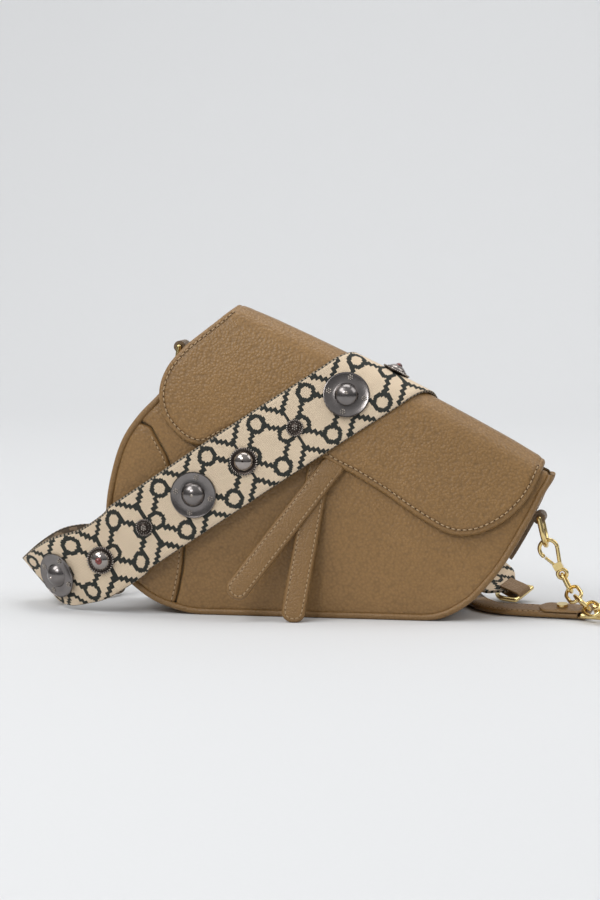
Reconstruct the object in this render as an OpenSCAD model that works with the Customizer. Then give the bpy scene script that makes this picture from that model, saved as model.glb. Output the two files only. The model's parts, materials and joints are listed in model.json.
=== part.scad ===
// Saddle handbag in pebbled leather with a slanted flap, two hanging tabs, a wide woven
// shoulder strap laid over it and a chain strap on the floor behind it.
// X runs to the right, the front faces -Y, Z is up and the bag stands on Z = 0.

/* [Bag] */
// Width of the bag from its left belly to its right corner
body_w = 266; // [240:1:290]
// Height of the bag at the left end of its top edge
body_h = 187.5; // [172:0.5:200]
// Depth of the bag at its base
body_d = 62; // [54:1:72]
// Slope of the top edge
top_slope = 26.2; // [24:0.1:28]
// Radius of the rolled top
top_r = 12; // [11:0.5:13]
// Leather thickness of the body panels
panel_t = 2; // [1.6:0.1:2.4]
// Width of the rolled edge round each panel
edge_w = 3.5; // [3:0.1:4]
// How far the rolled edge stands proud of its panel
edge_proud = 1; // [0.6:0.1:1.2]
// Thickness of the lining
lining_t = 0.8; // [0.6:0.1:1]

/* [Flap] */
// Thickness of the flap's outer leather
flap_outer_t = 1.6; // [1.4:0.1:1.8]
// Thickness of the flap's lining
flap_lining_t = 1.2; // [1:0.1:1.4]
// Gap between the flap and the front panel
flap_front_gap = 3.4; // [3:0.1:4]
// Gap between the flap and the back panel
flap_back_gap = 0.4; // [0.3:0.1:0.6]
// Radius of the magnetic snap
magnet_r = 9; // [7:0.5:10]

/* [Hanging tabs] */
// Width of each hanging tab
tab_w = 14; // [12:0.5:15]
// Thickness of each hanging tab
tab_t = 2.2; // [1.8:0.1:2.4]
// Length of the left tab
left_tab_len = 102; // [92:1:106]
// Length of the right tab
right_tab_len = 97.5; // [90:0.5:102]

/* [Wide strap] */
// Width of the woven strap
web_w = 45; // [42:0.5:48]
// Thickness of the woven strap
web_t = 1.8; // [1.4:0.1:2]
// Distance between the ornaments along the strap
stud_pitch = 36.4; // [35:0.2:38]
// Radius of the large ornaments
large_stud_r = 14; // [12:0.5:15]
// Radius of the middle ornaments
middle_stud_r = 8.8; // [8:0.2:9.6]
// Radius of the small ornaments
small_stud_r = 5.4; // [5:0.2:6]

/* [Chain strap] */
// Width of the leather shoulder strap
strap_w = 15; // [13:0.5:16]
// Thickness of the leather shoulder strap
strap_t = 3.6; // [3:0.1:4]
// Outer length of a chain link
link_len = 15; // [14:0.5:17]
// Outer width of a chain link
link_w = 11; // [10.5:0.25:12]
// Wire radius of a chain link
link_r = 1.15; // [1:0.05:1.25]

/* [Rings and hooks] */
// Inner width of the D-rings
ring_in_w = 16; // [16:0.5:18]
// Wire radius of the D-rings
ring_r = 1.5; // [1.3:0.1:1.6]
// Wire radius of the snap hooks
hook_r = 1.2; // [1.1:0.05:1.3]

/* [Hidden] */

leather = "#8a7050";
leather_dark = "#6f5a3e";
lining_tan = "#b09a78";
gold = "#d9b760";
gunmetal = "#5a5656";
cream = "#dcc8a5";
board_grey = "#77736c";

overrun = 1;
slack = 0.3;
round_fn = 48;

// The top edge: s runs down along it, u straight down from it and across it.
top_left_x_share = -0.1625;
along = [cos(top_slope), -sin(top_slope)];
down = [-sin(top_slope), -cos(top_slope)];
flap_t = flap_outer_t + flap_lining_t;
flap_shift = (flap_front_gap - flap_back_gap) / 2;
flap_gap = (flap_front_gap + flap_back_gap) / 2;
top_left = [top_left_x_share * body_w, body_h] + (flap_gap + flap_t) * down;
function front_xz(s, u) = top_left + s * along + u * down;
function on_top(s, y, u) = [front_xz(s, u)[0], y, front_xz(s, u)[1]];

// Outline of the body seen from the front, as shares of its width and its height.
body_shares = [[0.00, 0.0], [0.14, 0.0], [0.28, 0.0], [0.335, 0.017], [0.385, 0.06],
    [0.424, 0.117], [0.459, 0.182], [0.501, 0.285], [0.536, 0.385], [0.558, 0.482],
    [0.45, 0.60], [0.15, 0.785], [-0.165, 0.995],
    [-0.238, 0.872], [-0.318, 0.727], [-0.374, 0.642], [-0.412, 0.56], [-0.437, 0.45],
    [-0.4495, 0.335], [-0.444, 0.215], [-0.42, 0.135], [-0.375, 0.075], [-0.33, 0.035],
    [-0.27, 0.008], [-0.22, 0.0], [-0.10, 0.0]];
// Outline of the flap below the top edge, as shares of the same sizes.
flap_shares = [[-0.1625, 1.0], [-0.183, 0.978], [-0.227, 0.928], [-0.262, 0.887],
    [-0.287, 0.848], [-0.304, 0.812], [-0.315, 0.77], [-0.318, 0.73], [-0.314, 0.69],
    [-0.302, 0.65], [-0.282, 0.615], [-0.256, 0.585], [-0.229, 0.57], [-0.205, 0.572],
    [-0.17, 0.60], [-0.11, 0.632], [-0.05, 0.622], [0.01, 0.575], [0.079, 0.515],
    [0.127, 0.482], [0.195, 0.425], [0.247, 0.375], [0.295, 0.333], [0.335, 0.304],
    [0.371, 0.294], [0.414, 0.303], [0.465, 0.339], [0.504, 0.39], [0.528, 0.442],
    [0.542, 0.49]];

function sized(shares) = [for (p = shares) [p[0] * body_w, p[1] * body_h]];
function curve_point(a, b, c, d, t) = 0.5 * (2 * b + (c - a) * t
    + (2 * a - 5 * b + 4 * c - d) * t * t + (3 * b - a - 3 * c + d) * t * t * t);
// A smooth curve through points, closed or open, with steps pieces between two of them.
function smooth_closed(p, steps) = let (n = len(p))
    [for (i = [0 : n - 1], k = [0 : steps - 1])
        curve_point(p[(i + n - 1) % n], p[i], p[(i + 1) % n], p[(i + 2) % n], k / steps)];
function smooth_open(p, steps) = let (n = len(p))
    [for (i = [0 : n - 2], k = [0 : (i == n - 2 ? steps : steps - 1)])
        curve_point(p[max(i - 1, 0)], p[i], p[i + 1], p[min(i + 2, n - 1)], k / steps)];
function unit(v) = v / norm(v);
// A closed outline moved inwards by d, with the outline running anticlockwise.
function inset(p, d) = let (n = len(p))
    [for (i = [0 : n - 1]) let (t = unit(p[(i + 1) % n] - p[(i + n - 1) % n]))
        p[i] + d * [-t[1], t[0]]];

outline_steps = 3;
body_outline = [for (p = smooth_closed(sized(body_shares), outline_steps)) [p[0], max(p[1], 0)]];
flap_outline = smooth_open(sized(flap_shares), outline_steps);

// Side profile: a rolled top that widens along a large arc to the full depth.
half_d = body_d / 2;
arc_u_share = 0.586;
arc_u = arc_u_share * body_h;
arc_r = (pow(arc_u - top_r, 2) + pow(half_d, 2) - pow(top_r, 2)) / (2 * (half_d - top_r));
arc_angle = atan((arc_u - top_r) / (arc_r - half_d));
profile_share = 1.3;
profile_u_end = body_h * profile_share;
arc_steps = 8;
roll_steps = 12;
// Half depth of the body at distance u below the top edge.
function half_depth(u) = u >= arc_u ? half_d
    : half_d - arc_r + sqrt(pow(arc_r, 2) - pow(arc_u - u, 2));
// The front half of the profile, moved outwards by g, from u_end up to the crown.
function front_profile(g, u_end) = concat(
    [[-half_d - g, -u_end]],
    [for (k = [0 : arc_steps]) let (a = 180 - arc_angle * k / arc_steps)
        [arc_r - half_d, -arc_u] + (arc_r + g) * [cos(a), sin(a)]],
    [for (k = [1 : roll_steps]) let (a = 180 - arc_angle - (90 - arc_angle) * k / roll_steps)
        [0, -top_r] + (top_r + g) * [cos(a), sin(a)]]);
function mirrored(p) = [for (i = [len(p) - 1 : -1 : 0]) [-p[i][0], p[i][1]]];
function full_profile(g, u_end) = concat(front_profile(g, u_end),
    [for (i = [1 : len(front_profile(g, u_end)) - 1]) mirrored(front_profile(g, u_end))[i]]);

span_share = 1.6;
span_from_share = 0.5;
span_s = body_w * span_share;
module along_top() {
    translate([top_left[0], 0, top_left[1]]) rotate([0, top_slope, 0])
        translate([-span_s * span_from_share, 0, 0]) rotate([90, 0, 90])
            linear_extrude(height = span_s) children();
}
// Everything within the side profile moved outwards by g.
module profile_solid(g) {
    along_top() polygon(full_profile(g, profile_u_end));
}
// What lies at least u below the top edge.
module below_top(u) {
    along_top() translate([-body_d, -profile_u_end]) square([2 * body_d, profile_u_end - u]);
}
module front_slab(outline, y_low, y_high) {
    translate([0, y_high, 0]) rotate([90, 0, 0])
        linear_extrude(height = y_high - y_low) polygon(outline);
}
function body_edge(d) = inset(body_outline, d);

mouth_u = 16;
back_top_u = 14;
gusset_top_u = 15;
gusset_end_u = 5;
gusset_end_share = 0.53;

// Body panels.
seam_shares = [[-0.352, 0.622], [-0.327, 0.56], [-0.304, 0.5], [-0.283, 0.40],
    [-0.271, 0.29], [-0.269, 0.19], [-0.278, 0.10], [-0.290, 0.03]];
seam_line = smooth_open(sized(seam_shares), outline_steps);
seam_gap = 0.3;
seam_top_left = 14;
// The part of the front to the left of the side seam.
function left_of_seam(shift) = concat(
    [[-body_w, -overrun], [-body_w, body_h]],
    [[seam_line[0][0] + shift - seam_top_left, body_h]],
    [for (p = seam_line) p + [shift, 0]],
    [[seam_line[len(seam_line) - 1][0] + shift, -overrun]]);

module front_skin() {
    intersection() {
        difference() {
            profile_solid(0);
            profile_solid(-panel_t);
        }
        front_slab(body_edge(edge_w), -body_d, 0);
        below_top(mouth_u);
    }
}
module front_panel() {
    color(leather) difference() {
        front_skin();
        front_slab(left_of_seam(seam_gap), -body_d, 0);
        snap_place() cylinder(h = body_d, r = snap_post_r + slack, center = true, $fn = round_fn);
    }
}
module front_side_panel() {
    color(leather) intersection() {
        front_skin();
        front_slab(left_of_seam(0), -body_d, 0);
    }
}
module back_panel() {
    color(leather) intersection() {
        difference() {
            profile_solid(0);
            profile_solid(-panel_t);
        }
        front_slab(body_edge(edge_w), 0, body_d);
        below_top(back_top_u);
    }
}
module gusset() {
    color(leather) intersection() {
        difference() {
            front_slab(body_outline, -body_d, body_d);
            front_slab(body_edge(panel_t), -body_d - overrun, body_d + overrun);
        }
        profile_solid(-edge_depth);
        union() {
            below_top(gusset_top_u);
            intersection() {
                below_top(gusset_end_u);
                translate([gusset_end_share * body_w, -body_d, 0]) cube([body_w, 2 * body_d, body_h]);
            }
        }
    }
}
edge_depth = 3;
edge_step = 1.2;
// The turned leather edge that frames a panel, in two steps that round it off.
module edge_roll(y_low, y_high) {
    intersection() {
        union() {
            difference() {
                intersection() {
                    profile_solid(edge_proud - edge_step / 2);
                    front_slab(body_outline, y_low, y_high);
                }
                profile_solid(-edge_depth);
            }
            difference() {
                intersection() {
                    profile_solid(edge_proud);
                    front_slab(body_edge(edge_step / 2), y_low, y_high);
                }
                profile_solid(-edge_depth);
            }
        }
        difference() {
            front_slab(body_outline, y_low, y_high);
            front_slab(body_edge(edge_w), y_low - overrun, y_high + overrun);
        }
        below_top(gusset_top_u);
    }
}
module front_edge_roll() {
    color(leather) edge_roll(-body_d, 0);
}
module back_edge_roll() {
    color(leather) edge_roll(0, body_d);
}
module lining() {
    color(lining_tan) intersection() {
        difference() {
            intersection() {
                profile_solid(-edge_depth);
                front_slab(body_edge(edge_w), -body_d, body_d);
            }
            intersection() {
                profile_solid(-edge_depth - lining_t);
                front_slab(body_edge(edge_w + lining_t), -body_d, body_d);
            }
            snap_place() cylinder(h = body_d, r = snap_post_r + slack, center = true, $fn = round_fn);
        }
        below_top(mouth_u);
    }
}
board_t = 1.6;
board_len_share = 0.45;
board_d_share = 0.72;
board_x_share = 0.02;
module base_board() {
    color(board_grey) translate([board_x_share * body_w, 0, edge_w + lining_t + slack + board_t / 2])
        cube([board_len_share * body_w, board_d_share * body_d, board_t], center = true);
}
// A flat slip pocket sewn to the back lining.
pocket_t = 1;
pocket_shares = [[-0.26, 0.20], [0.24, 0.20], [0.24, 0.42], [-0.06, 0.62], [-0.26, 0.62]];
module inner_pocket() {
    color(lining_tan) intersection() {
        difference() {
            profile_solid(-edge_depth - lining_t - slack);
            profile_solid(-edge_depth - lining_t - slack - pocket_t);
        }
        front_slab(sized(pocket_shares), overrun, body_d);
    }
}

// Magnetic snap between the flap and the front panel.
snap_share = [-0.235, 0.655];
snap_s = (snap_share[0] * body_w - top_left[0]) * along[0]
    + (snap_share[1] * body_h - top_left[1]) * along[1];
snap_u = (snap_share[0] * body_w - top_left[0]) * down[0]
    + (snap_share[1] * body_h - top_left[1]) * down[1];
snap_tilt = asin((arc_u - snap_u) / arc_r);
snap_post_r = 2.4;
snap_disc_t = 1.4;
snap_post_in = 1.6;
// Puts its children on the front panel's face at the snap, with +Z along the panel's outward normal.
module snap_place() {
    translate(on_top(snap_s, -half_depth(snap_u), snap_u)) rotate([0, top_slope, 0])
        rotate([90 - snap_tilt, 0, 0]) children();
}
module magnet_socket() {
    color(gold) snap_place() {
        translate([0, 0, slack / 2]) difference() {
            cylinder(h = snap_disc_t, r = magnet_r, $fn = round_fn);
            translate([0, 0, snap_disc_t / 2])
                cylinder(h = snap_disc_t, r = snap_post_r, $fn = round_fn);
        }
        translate([0, 0, -panel_t - snap_post_in])
            cylinder(h = panel_t + snap_post_in + slack / 2, r = snap_post_r, $fn = round_fn);
    }
}

// Flap, hinged behind the rolled top.
hinge_u = 8;
flap_edge_in = 1.2;
flap_s_low = -1;
flap_s_high_share = 0.787;
flap_s_high = flap_s_high_share * body_w;
// One layer of the flap, between two outward moves of the profile, within an outline in front
// and down to the hinge line behind.
module flap_layer(g_low, g_high, outline) {
    intersection() {
        translate([0, -flap_shift, 0]) difference() {
            profile_solid(g_high);
            profile_solid(g_low);
        }
        union() {
            front_slab(outline, -body_d, 0);
            translate([top_left[0], 0, top_left[1]]) rotate([0, top_slope, 0])
                translate([flap_s_low, -body_d, -hinge_u])
                    cube([flap_s_high - flap_s_low, 2 * body_d, hinge_u + body_d]);
        }
    }
}
module flap_outer() {
    color(leather) flap_layer(flap_gap + flap_lining_t, flap_gap + flap_t, flap_outline);
}
module flap_lining() {
    color(lining_tan) flap_layer(flap_gap, flap_gap + flap_lining_t, inset(flap_outline, flap_edge_in));
}
module magnet_plug() {
    color(gold) snap_place() translate([0, 0, snap_disc_t + slack]) {
        cylinder(h = flap_front_gap - snap_disc_t - 2 * slack, r = magnet_r, $fn = round_fn);
    }
}

// Hanging tabs, sewn one over the other to the notch of the flap.
// Top point of a tab, its lean in the picture plane and its lean away from the panel.
left_tab_share = [0.080, 0.503];
right_tab_share = [0.043, 0.500];
tab_hinge_share = [0.075, 0.506];
left_tab_top = [left_tab_share[0] * body_w, left_tab_share[1] * body_h];
right_tab_top = [right_tab_share[0] * body_w, right_tab_share[1] * body_h];
left_tab_lean = 36;
right_tab_lean = 8.5;
tabs_out = 15;
tab_clear = 0.8;
tab_tip_share = 0.75;
tab_root = 8;
anchor_w = 26;
anchor_h = 8;
anchor_up = 3;
function u_of(p) = (p[0] - top_left[0]) * down[0] + (p[1] - top_left[1]) * down[1];
tab_hinge = [tab_hinge_share[0] * body_w, tab_hinge_share[1] * body_h];
right_tab_y = -half_depth(u_of(tab_hinge)) - tab_clear - tab_t / 2;
left_tab_y = right_tab_y - tab_t - slack;
module tab_outline(len) {
    tip = tab_w / 2 * tab_tip_share;
    translate([0, -len + tip]) scale([1, tab_tip_share]) circle(r = tab_w / 2, $fn = round_fn);
    translate([-tab_w / 2, -len + tip]) square([tab_w, len - tip + tab_root]);
}
// What lies below the tabs' sewn line, moved down by d.
module below_tab_hinge(d) {
    translate([tab_hinge[0], 0, tab_hinge[1]]) rotate([0, top_slope, 0])
        translate([-body_w / 2, -body_d, -body_h - d]) cube([body_w, 2 * body_d, body_h]);
}
// The sewn root of both tabs, held against the flap's lining.
module tab_anchor() {
    color(leather) translate([tab_hinge[0], right_tab_y, tab_hinge[1]]) rotate([0, top_slope, 0])
        rotate([-asin((arc_u - u_of(tab_hinge)) / arc_r), 0, 0])
            translate([-anchor_w / 2, -tab_t / 2, anchor_up]) cube([anchor_w, tab_t, anchor_h]);
}
// Leans a tab in its own plane and turns that plane outwards about the sewn line.
module tab_place(top, y, lean) {
    translate([tab_hinge[0], y, tab_hinge[1]]) rotate([0, top_slope, 0]) rotate([-tabs_out, 0, 0])
        rotate([0, -top_slope, 0]) translate([top[0] - tab_hinge[0], 0, top[1] - tab_hinge[1]])
            rotate([0, lean, 0]) children();
}
module tab_strip(len) {
    translate([0, tab_t / 2, 0]) rotate([90, 0, 0]) linear_extrude(height = tab_t)
        tab_outline(len);
}
module left_hanging_tab() {
    color(leather) intersection() {
        tab_place(left_tab_top, left_tab_y, left_tab_lean) tab_strip(left_tab_len);
        below_tab_hinge(slack);
    }
}
module right_hanging_tab() {
    color(leather) intersection() {
        tab_place(right_tab_top, right_tab_y, right_tab_lean) tab_strip(right_tab_len);
        below_tab_hinge(slack);
    }
}

// Ring tabs: a leather strip that lies on the gusset and loops round a D-ring's bar.
ring_tab_w = 15;
ring_tab_t = 2;
ring_loop_r = ring_r + slack / 2;
gusset_clear = 0.15;
// A ring tab with its loop's centre at a place beside the gusset. Its strip runs down the gusset
// from there, along a line that is turned from straight down.
module ring_tab(place, turn, reach) {
    translate([0, ring_tab_w / 2, 0]) rotate([90, 0, 0]) linear_extrude(height = ring_tab_w)
        difference() {
            union() {
                translate(place) circle(r = ring_loop_r + ring_tab_t, $fn = round_fn);
                intersection() {
                    difference() {
                        polygon(body_edge(-gusset_clear - ring_tab_t));
                        polygon(body_edge(-gusset_clear));
                    }
                    translate(place) rotate(turn) translate([-ring_reach, -reach])
                        square([2 * ring_reach, reach]);
                }
            }
            translate(place) circle(r = ring_loop_r, $fn = round_fn);
        }
}
right_loop_share = [0.5304, 0.3202];
left_loop_share = [-0.2955, 0.857];
right_loop = [right_loop_share[0] * body_w, right_loop_share[1] * body_h];
left_loop = [left_loop_share[0] * body_w, left_loop_share[1] * body_h];
right_tab_turn = 28.1;
left_tab_turn = 8;
right_tab_reach = 30;
left_tab_reach = 14;
module right_ring_tab() {
    color(leather_dark) ring_tab(right_loop, -right_tab_turn, right_tab_reach);
}
module left_ring_tab() {
    color(leather_dark) ring_tab(left_loop, -left_tab_turn, left_tab_reach);
}
// A wire between two points.
module wire(a, b, r) {
    v = b - a;
    translate(a) rotate([0, acos(v[2] / norm(v)), atan2(v[1], v[0])])
        cylinder(h = norm(v), r = r, $fn = wire_fn);
}
wire_fn = 48;
arc_fn = 72;
module wire_arc(radius, r, from, sweep) {
    rotate([0, 0, from]) rotate_extrude(angle = sweep, $fn = arc_fn)
        translate([radius, 0]) circle(r = r, $fn = wire_fn);
}
// A D-ring with its straight bar on the Y axis and its bow below it.
ring_drop = 8;
module d_ring() {
    half = ring_in_w / 2 + ring_r;
    wire([0, -half, 0], [0, half, 0], ring_r);
    for (side = [-1, 1]) {
        translate([0, side * half, 0]) sphere(r = ring_r, $fn = wire_fn);
        wire([0, side * half, 0], [0, side * half, -ring_drop], ring_r);
    }
    translate([0, 0, -ring_drop]) rotate([0, 90, 0]) wire_arc(half, ring_r, -90, 180);
}
ring_reach = ring_drop + ring_in_w / 2 + ring_r;
right_ring_turn = -13;
left_ring_turn = 8;
module right_d_ring() {
    color(gold) translate([right_loop[0], 0, right_loop[1]])
        rotate([0, right_ring_turn, 0]) d_ring();
}
module left_d_ring() {
    color(gold) translate([left_loop[0], 0, left_loop[1]])
        rotate([0, left_ring_turn, 0]) d_ring();
}

// Snap hook. Its eye is at the origin, its bow above it, in the XZ plane.
hook_eye_r = 2.7;
hook_bow_r = 5.4;
hook_bow_z = 17.2;
hook_base_low = 3.2;
hook_base_high = 7.4;
hook_base_w = 5.6;
hook_base_t = 4.2;
hook_nose_angle = 205;
hook_side_angle = -14;
hook_root_x = 1.9;
hook_ball_share = 1.1;
gate_t = 1.8;
gate_slot = gate_t + slack;
gate_pin_r = 0.7;
gate_pin_fit = 0.06;
gate_eye_r = 1.6;
gate_pivot = [-1.0, 5.6];
hook_nose = [hook_bow_r * cos(hook_nose_angle), hook_bow_z + hook_bow_r * sin(hook_nose_angle)];
gate_len = norm(hook_nose - gate_pivot) - hook_r * hook_ball_share - slack;
gate_turn = atan2(hook_nose[0] - gate_pivot[0], hook_nose[1] - gate_pivot[1]);
module hook_body() {
    side = [hook_bow_r * cos(hook_side_angle), 0, hook_bow_z + hook_bow_r * sin(hook_side_angle)];
    root = [hook_root_x, 0, hook_base_high - hook_r / 2];
    rotate([90, 0, 0]) rotate_extrude($fn = arc_fn) translate([hook_eye_r, 0])
        circle(r = hook_r, $fn = wire_fn);
    translate([0, 0, hook_bow_z]) rotate([90, 0, 0])
        wire_arc(hook_bow_r, hook_r, hook_side_angle, hook_nose_angle - hook_side_angle);
    for (end = [[hook_nose[0], 0, hook_nose[1]], side])
        translate(end) sphere(r = hook_r * hook_ball_share, $fn = wire_fn);
    wire(root, side, hook_r);
    difference() {
        translate([-hook_base_w / 2, -hook_base_t / 2, hook_base_low])
            cube([hook_base_w, hook_base_t, hook_base_high - hook_base_low]);
        translate([-hook_base_w, -gate_slot / 2, gate_pivot[1] - gate_eye_r - slack])
            cube([hook_base_w + hook_root_x - hook_r, gate_slot, hook_base_high]);
    }
    translate([gate_pivot[0], hook_base_t / 2 - overrun / 2, gate_pivot[1]]) rotate([90, 0, 0])
        cylinder(h = hook_base_t - overrun, r = gate_pin_r, $fn = round_fn);
}
module hook_gate() {
    translate([gate_pivot[0], 0, gate_pivot[1]]) difference() {
        union() {
            translate([0, gate_t / 2, 0]) rotate([90, 0, 0])
                cylinder(h = gate_t, r = gate_eye_r, $fn = round_fn);
            rotate([0, gate_turn, 0]) cylinder(h = gate_len, r = gate_t / 2, $fn = wire_fn);
        }
        translate([0, gate_t / 2 + overrun, 0]) rotate([90, 0, 0])
            cylinder(h = gate_t + 2 * overrun, r = gate_pin_r + gate_pin_fit, $fn = round_fn);
    }
}
hook_hang = hook_bow_z + hook_bow_r - hook_r - ring_r - slack;
right_hook_turn = -29.6;
ring_low = [right_loop[0] + ring_reach * sin(-right_ring_turn), 0,
    right_loop[1] - ring_reach * cos(right_ring_turn)];
right_eye = ring_low + hook_hang * [sin(-right_hook_turn), 0, -cos(right_hook_turn)];
module right_hook_place() {
    translate(right_eye) rotate([0, right_hook_turn, 0]) children();
}
module right_hook() {
    color(gold) right_hook_place() hook_body();
}
module right_hook_gate() {
    color(gold) right_hook_place() hook_gate();
}

// Chain. A link starts at the origin and runs up the Z axis, between its wire's two crowns.
module chain_link(len, w, r) {
    bow = w / 2 - r;
    for (end = [0, 1]) translate([0, 0, end == 0 ? bow : len - bow])
        rotate([90, 0, 0]) wire_arc(bow, r, end == 0 ? 180 : 0, 180);
    for (side = [-1, 1]) wire([side * bow, 0, bow], [side * bow, 0, len - bow], r);
}
small_link_len = 12.6;
small_link_w = 7.9;
small_link_r = 0.9;
link_clear = 0.35;
link_span = link_len - 2 * link_r;
// Heading round Z and angle from straight up of the small link and of each link that follows.
small_link_turn = [-32, 147];
small_link_twist = 8;
chain_turns = [[-61, 114], [-50, 110], [-49, 103], [-17, 89], [45, 108], [77, 77], [166, 102]];
function heading(t) = [sin(t[1]) * cos(t[0]), sin(t[1]) * sin(t[0]), cos(t[1])];
function link_heading(i) = heading(i < 0 ? small_link_turn : chain_turns[i]);
function square_to(v, h) = unit(v - (v * h) * h);
// The direction across a link. Each link stands square to the one before it.
small_link_side = let (h = link_heading(-1), side = square_to([0, 1, 0], h))
    side * cos(small_link_twist) + cross(h, side) * sin(small_link_twist);
function link_side(i) = i < 0 ? small_link_side
    : square_to(cross(link_heading(i - 1), link_side(i - 1)), link_heading(i));
chain_start = right_eye
    + (small_link_len - small_link_r - link_r - link_clear) * link_heading(-1);
function link_start(i) = i == 0 ? chain_start
    : link_start(i - 1) + (link_span - 2 * link_r - link_clear) * link_heading(i - 1);
module hook_link() {
    color(gold) place_on(right_eye, link_side(-1), link_heading(-1))
        chain_link(small_link_len, small_link_w, small_link_r);
}
module one_link(i) {
    color(gold) place_on(link_start(i), link_side(i), link_heading(i))
        chain_link(link_span, link_w, link_r);
}
module chain_link_1() { one_link(0); }
module chain_link_2() { one_link(1); }
module chain_link_3() { one_link(2); }
module chain_link_4() { one_link(3); }
module chain_link_5() { one_link(4); }
module chain_link_6() { one_link(5); }
module chain_link_7() { one_link(6); }

// Leather shoulder strap, lying on the floor. Each route point has the X of the strap's middle
// from the right hook's eye, its Y, how far it leans (0 lies flat, 90 stands on its edge) and how
// far it is lifted.
strap_route = [[11.3, -6.6, 8, 0.2], [-0.7, -4.6, 10, 0.1], [-12.7, -2.6, 11, 0],
    [-24.7, -0.4, 11, 0], [-35.7, 4, 9, 0], [-44.7, 13, 5, 0], [-51.7, 27, 3, 0],
    [-57.7, 42, 3, 0], [-63.7, 55, 12, 0], [-72.7, 65, 40, 0], [-86.7, 70, 70, 0],
    [-104.7, 71, 90, 0], [-134.7, 71, 90, 0], [-166.7, 71, 90, 0], [-198.7, 71, 90, 0],
    [-218.7, 75, 90, 0], [-228.7, 89, 90, 0], [-220.7, 104, 90, 0], [-200.7, 110, 90, 0],
    [-164.7, 110, 90, 0], [-126.7, 110, 90, 0], [-100.7, 110, 90, 0], [-80.7, 116, 90, 0],
    [-71.7, 131, 90, 0], [-80.7, 146, 90, 0], [-100.7, 151, 90, 0], [-126.7, 151, 90, 0],
    [-150.7, 151, 90, 0], [-168.7, 151, 60, 0.2], [-182.7, 151, 25, 0.6], [-194.7, 151, 0, 1.2],
    [-210.7, 151, 0, 1.6], [-226.7, 151, 0, 2]];
strap_steps = 2;
strap_corner_share = 0.3;
strap_line = smooth_open(strap_route, strap_steps);
function strap_mid(i) = let (p = strap_line[i]) [right_eye[0] + p[0], p[1],
    slack + p[3] + strap_w / 2 * sin(p[2]) + strap_t / 2 * cos(p[2])];
function strap_heading(i) = let (n = len(strap_line) - 1)
    unit(strap_mid(min(i + 1, n)) - strap_mid(max(i - 1, 0)));
// The directions across the strap and out of its face.
function strap_across(i) = let (t = strap_heading(i), side = unit([-t[1], t[0], 0]),
    lean = strap_line[i][2]) side * cos(lean) - [0, 0, 1] * sin(lean);
function strap_out(i) = cross(strap_heading(i), strap_across(i));
// Eight corners of a band's section, w wide and t thick, with eased edges.
function band_section(w, t) = let (c = t * strap_corner_share)
    [[w / 2, t / 2 - c], [w / 2, -t / 2 + c], [w / 2 - c, -t / 2], [-w / 2 + c, -t / 2],
        [-w / 2, -t / 2 + c], [-w / 2, t / 2 - c], [-w / 2 + c, t / 2], [w / 2 - c, t / 2]];
// A closed skin over rings of the same count of points.
module skin(rings) {
    n = len(rings[0]);
    m = len(rings);
    faces = concat(
        [for (i = [0 : m - 2], k = [0 : n - 1]) let (a = i * n + k, b = i * n + (k + 1) % n)
            [a, b, b + n]],
        [for (i = [0 : m - 2], k = [0 : n - 1]) let (a = i * n + k, b = i * n + (k + 1) % n)
            [a, b + n, a + n]],
        [for (k = [1 : n - 2]) [0, k + 1, k]],
        [for (k = [1 : n - 2]) [(m - 1) * n, (m - 1) * n + k, (m - 1) * n + k + 1]]);
    polyhedron(points = [for (r = rings) for (p = r) p], faces = faces);
}
function band_ring(c, w, n, section) = [for (q = section) c + q[0] * w + q[1] * n];
module shoulder_strap() {
    color(leather) skin([for (i = [0 : len(strap_line) - 1])
        band_ring(strap_mid(i), strap_across(i), strap_out(i), band_section(strap_w, strap_t))]);
}

// The strap's folded end: it runs back over the strap and loops round a ring's bar.
fold_t = 1.6;
right_strap_ring_turn = -88;
left_strap_ring_turn = -86;
fold_len = 24;
stud_r = 3.4;
stud_h = 1.6;
stud_inset_share = 0.45;
fold_up = ring_loop_r + fold_t - strap_t / 2;
fold_rise = strap_t / 2 + slack / 2 + fold_t / 2;
end_gap = 0.4;
// The part of a folded end that lies on the strap, over the strap's stations from first to last.
module strap_fold(first, last) {
    skin([for (i = [first : last]) band_ring(strap_mid(i) + fold_rise * strap_out(i),
        strap_across(i), strap_out(i), band_section(strap_w, fold_t))]);
}
// Its loop round a ring's bar. Local X runs out along the strap, from the strap's end.
module strap_loop() {
    translate([0, strap_w / 2, 0]) rotate([90, 0, 0]) linear_extrude(height = strap_w)
        difference() {
            union() {
                translate([loop_bar[0], fold_up]) circle(r = ring_loop_r + fold_t, $fn = round_fn);
                translate([0, fold_rise - fold_t / 2]) square([loop_bar[0], fold_t]);
            }
            translate([loop_bar[0], fold_up]) circle(r = ring_loop_r, $fn = round_fn);
        }
}
module strap_stud() {
    translate([-fold_len * stud_inset_share, 0, fold_rise + fold_t / 2 + stud_rise])
        cylinder(h = stud_h, r = stud_r, $fn = round_fn);
}
stud_rise = 0.1;
module right_end_place() {
    place_on(strap_mid(0), -strap_heading(0), strap_out(0)) children();
}
module left_end_place() {
    last = len(strap_line) - 1;
    place_on(strap_mid(last), strap_heading(last), strap_out(last)) children();
}
loop_bar = [ring_loop_r + fold_t + end_gap, 0, fold_up];
fold_stations = 4;
module right_strap_end() {
    color(leather) {
        right_end_place() strap_loop();
        strap_fold(0, fold_stations);
    }
}
module right_end_stud() { color(gold) right_end_place() strap_stud(); }
module left_strap_end() {
    last = len(strap_line) - 1;
    color(leather) {
        left_end_place() strap_loop();
        strap_fold(last - fold_stations + 1, last);
    }
}
module left_end_stud() { color(gold) left_end_place() strap_stud(); }
module right_strap_ring() {
    color(gold) right_end_place() translate(loop_bar)
        rotate([0, right_strap_ring_turn, 0]) d_ring();
}
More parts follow.
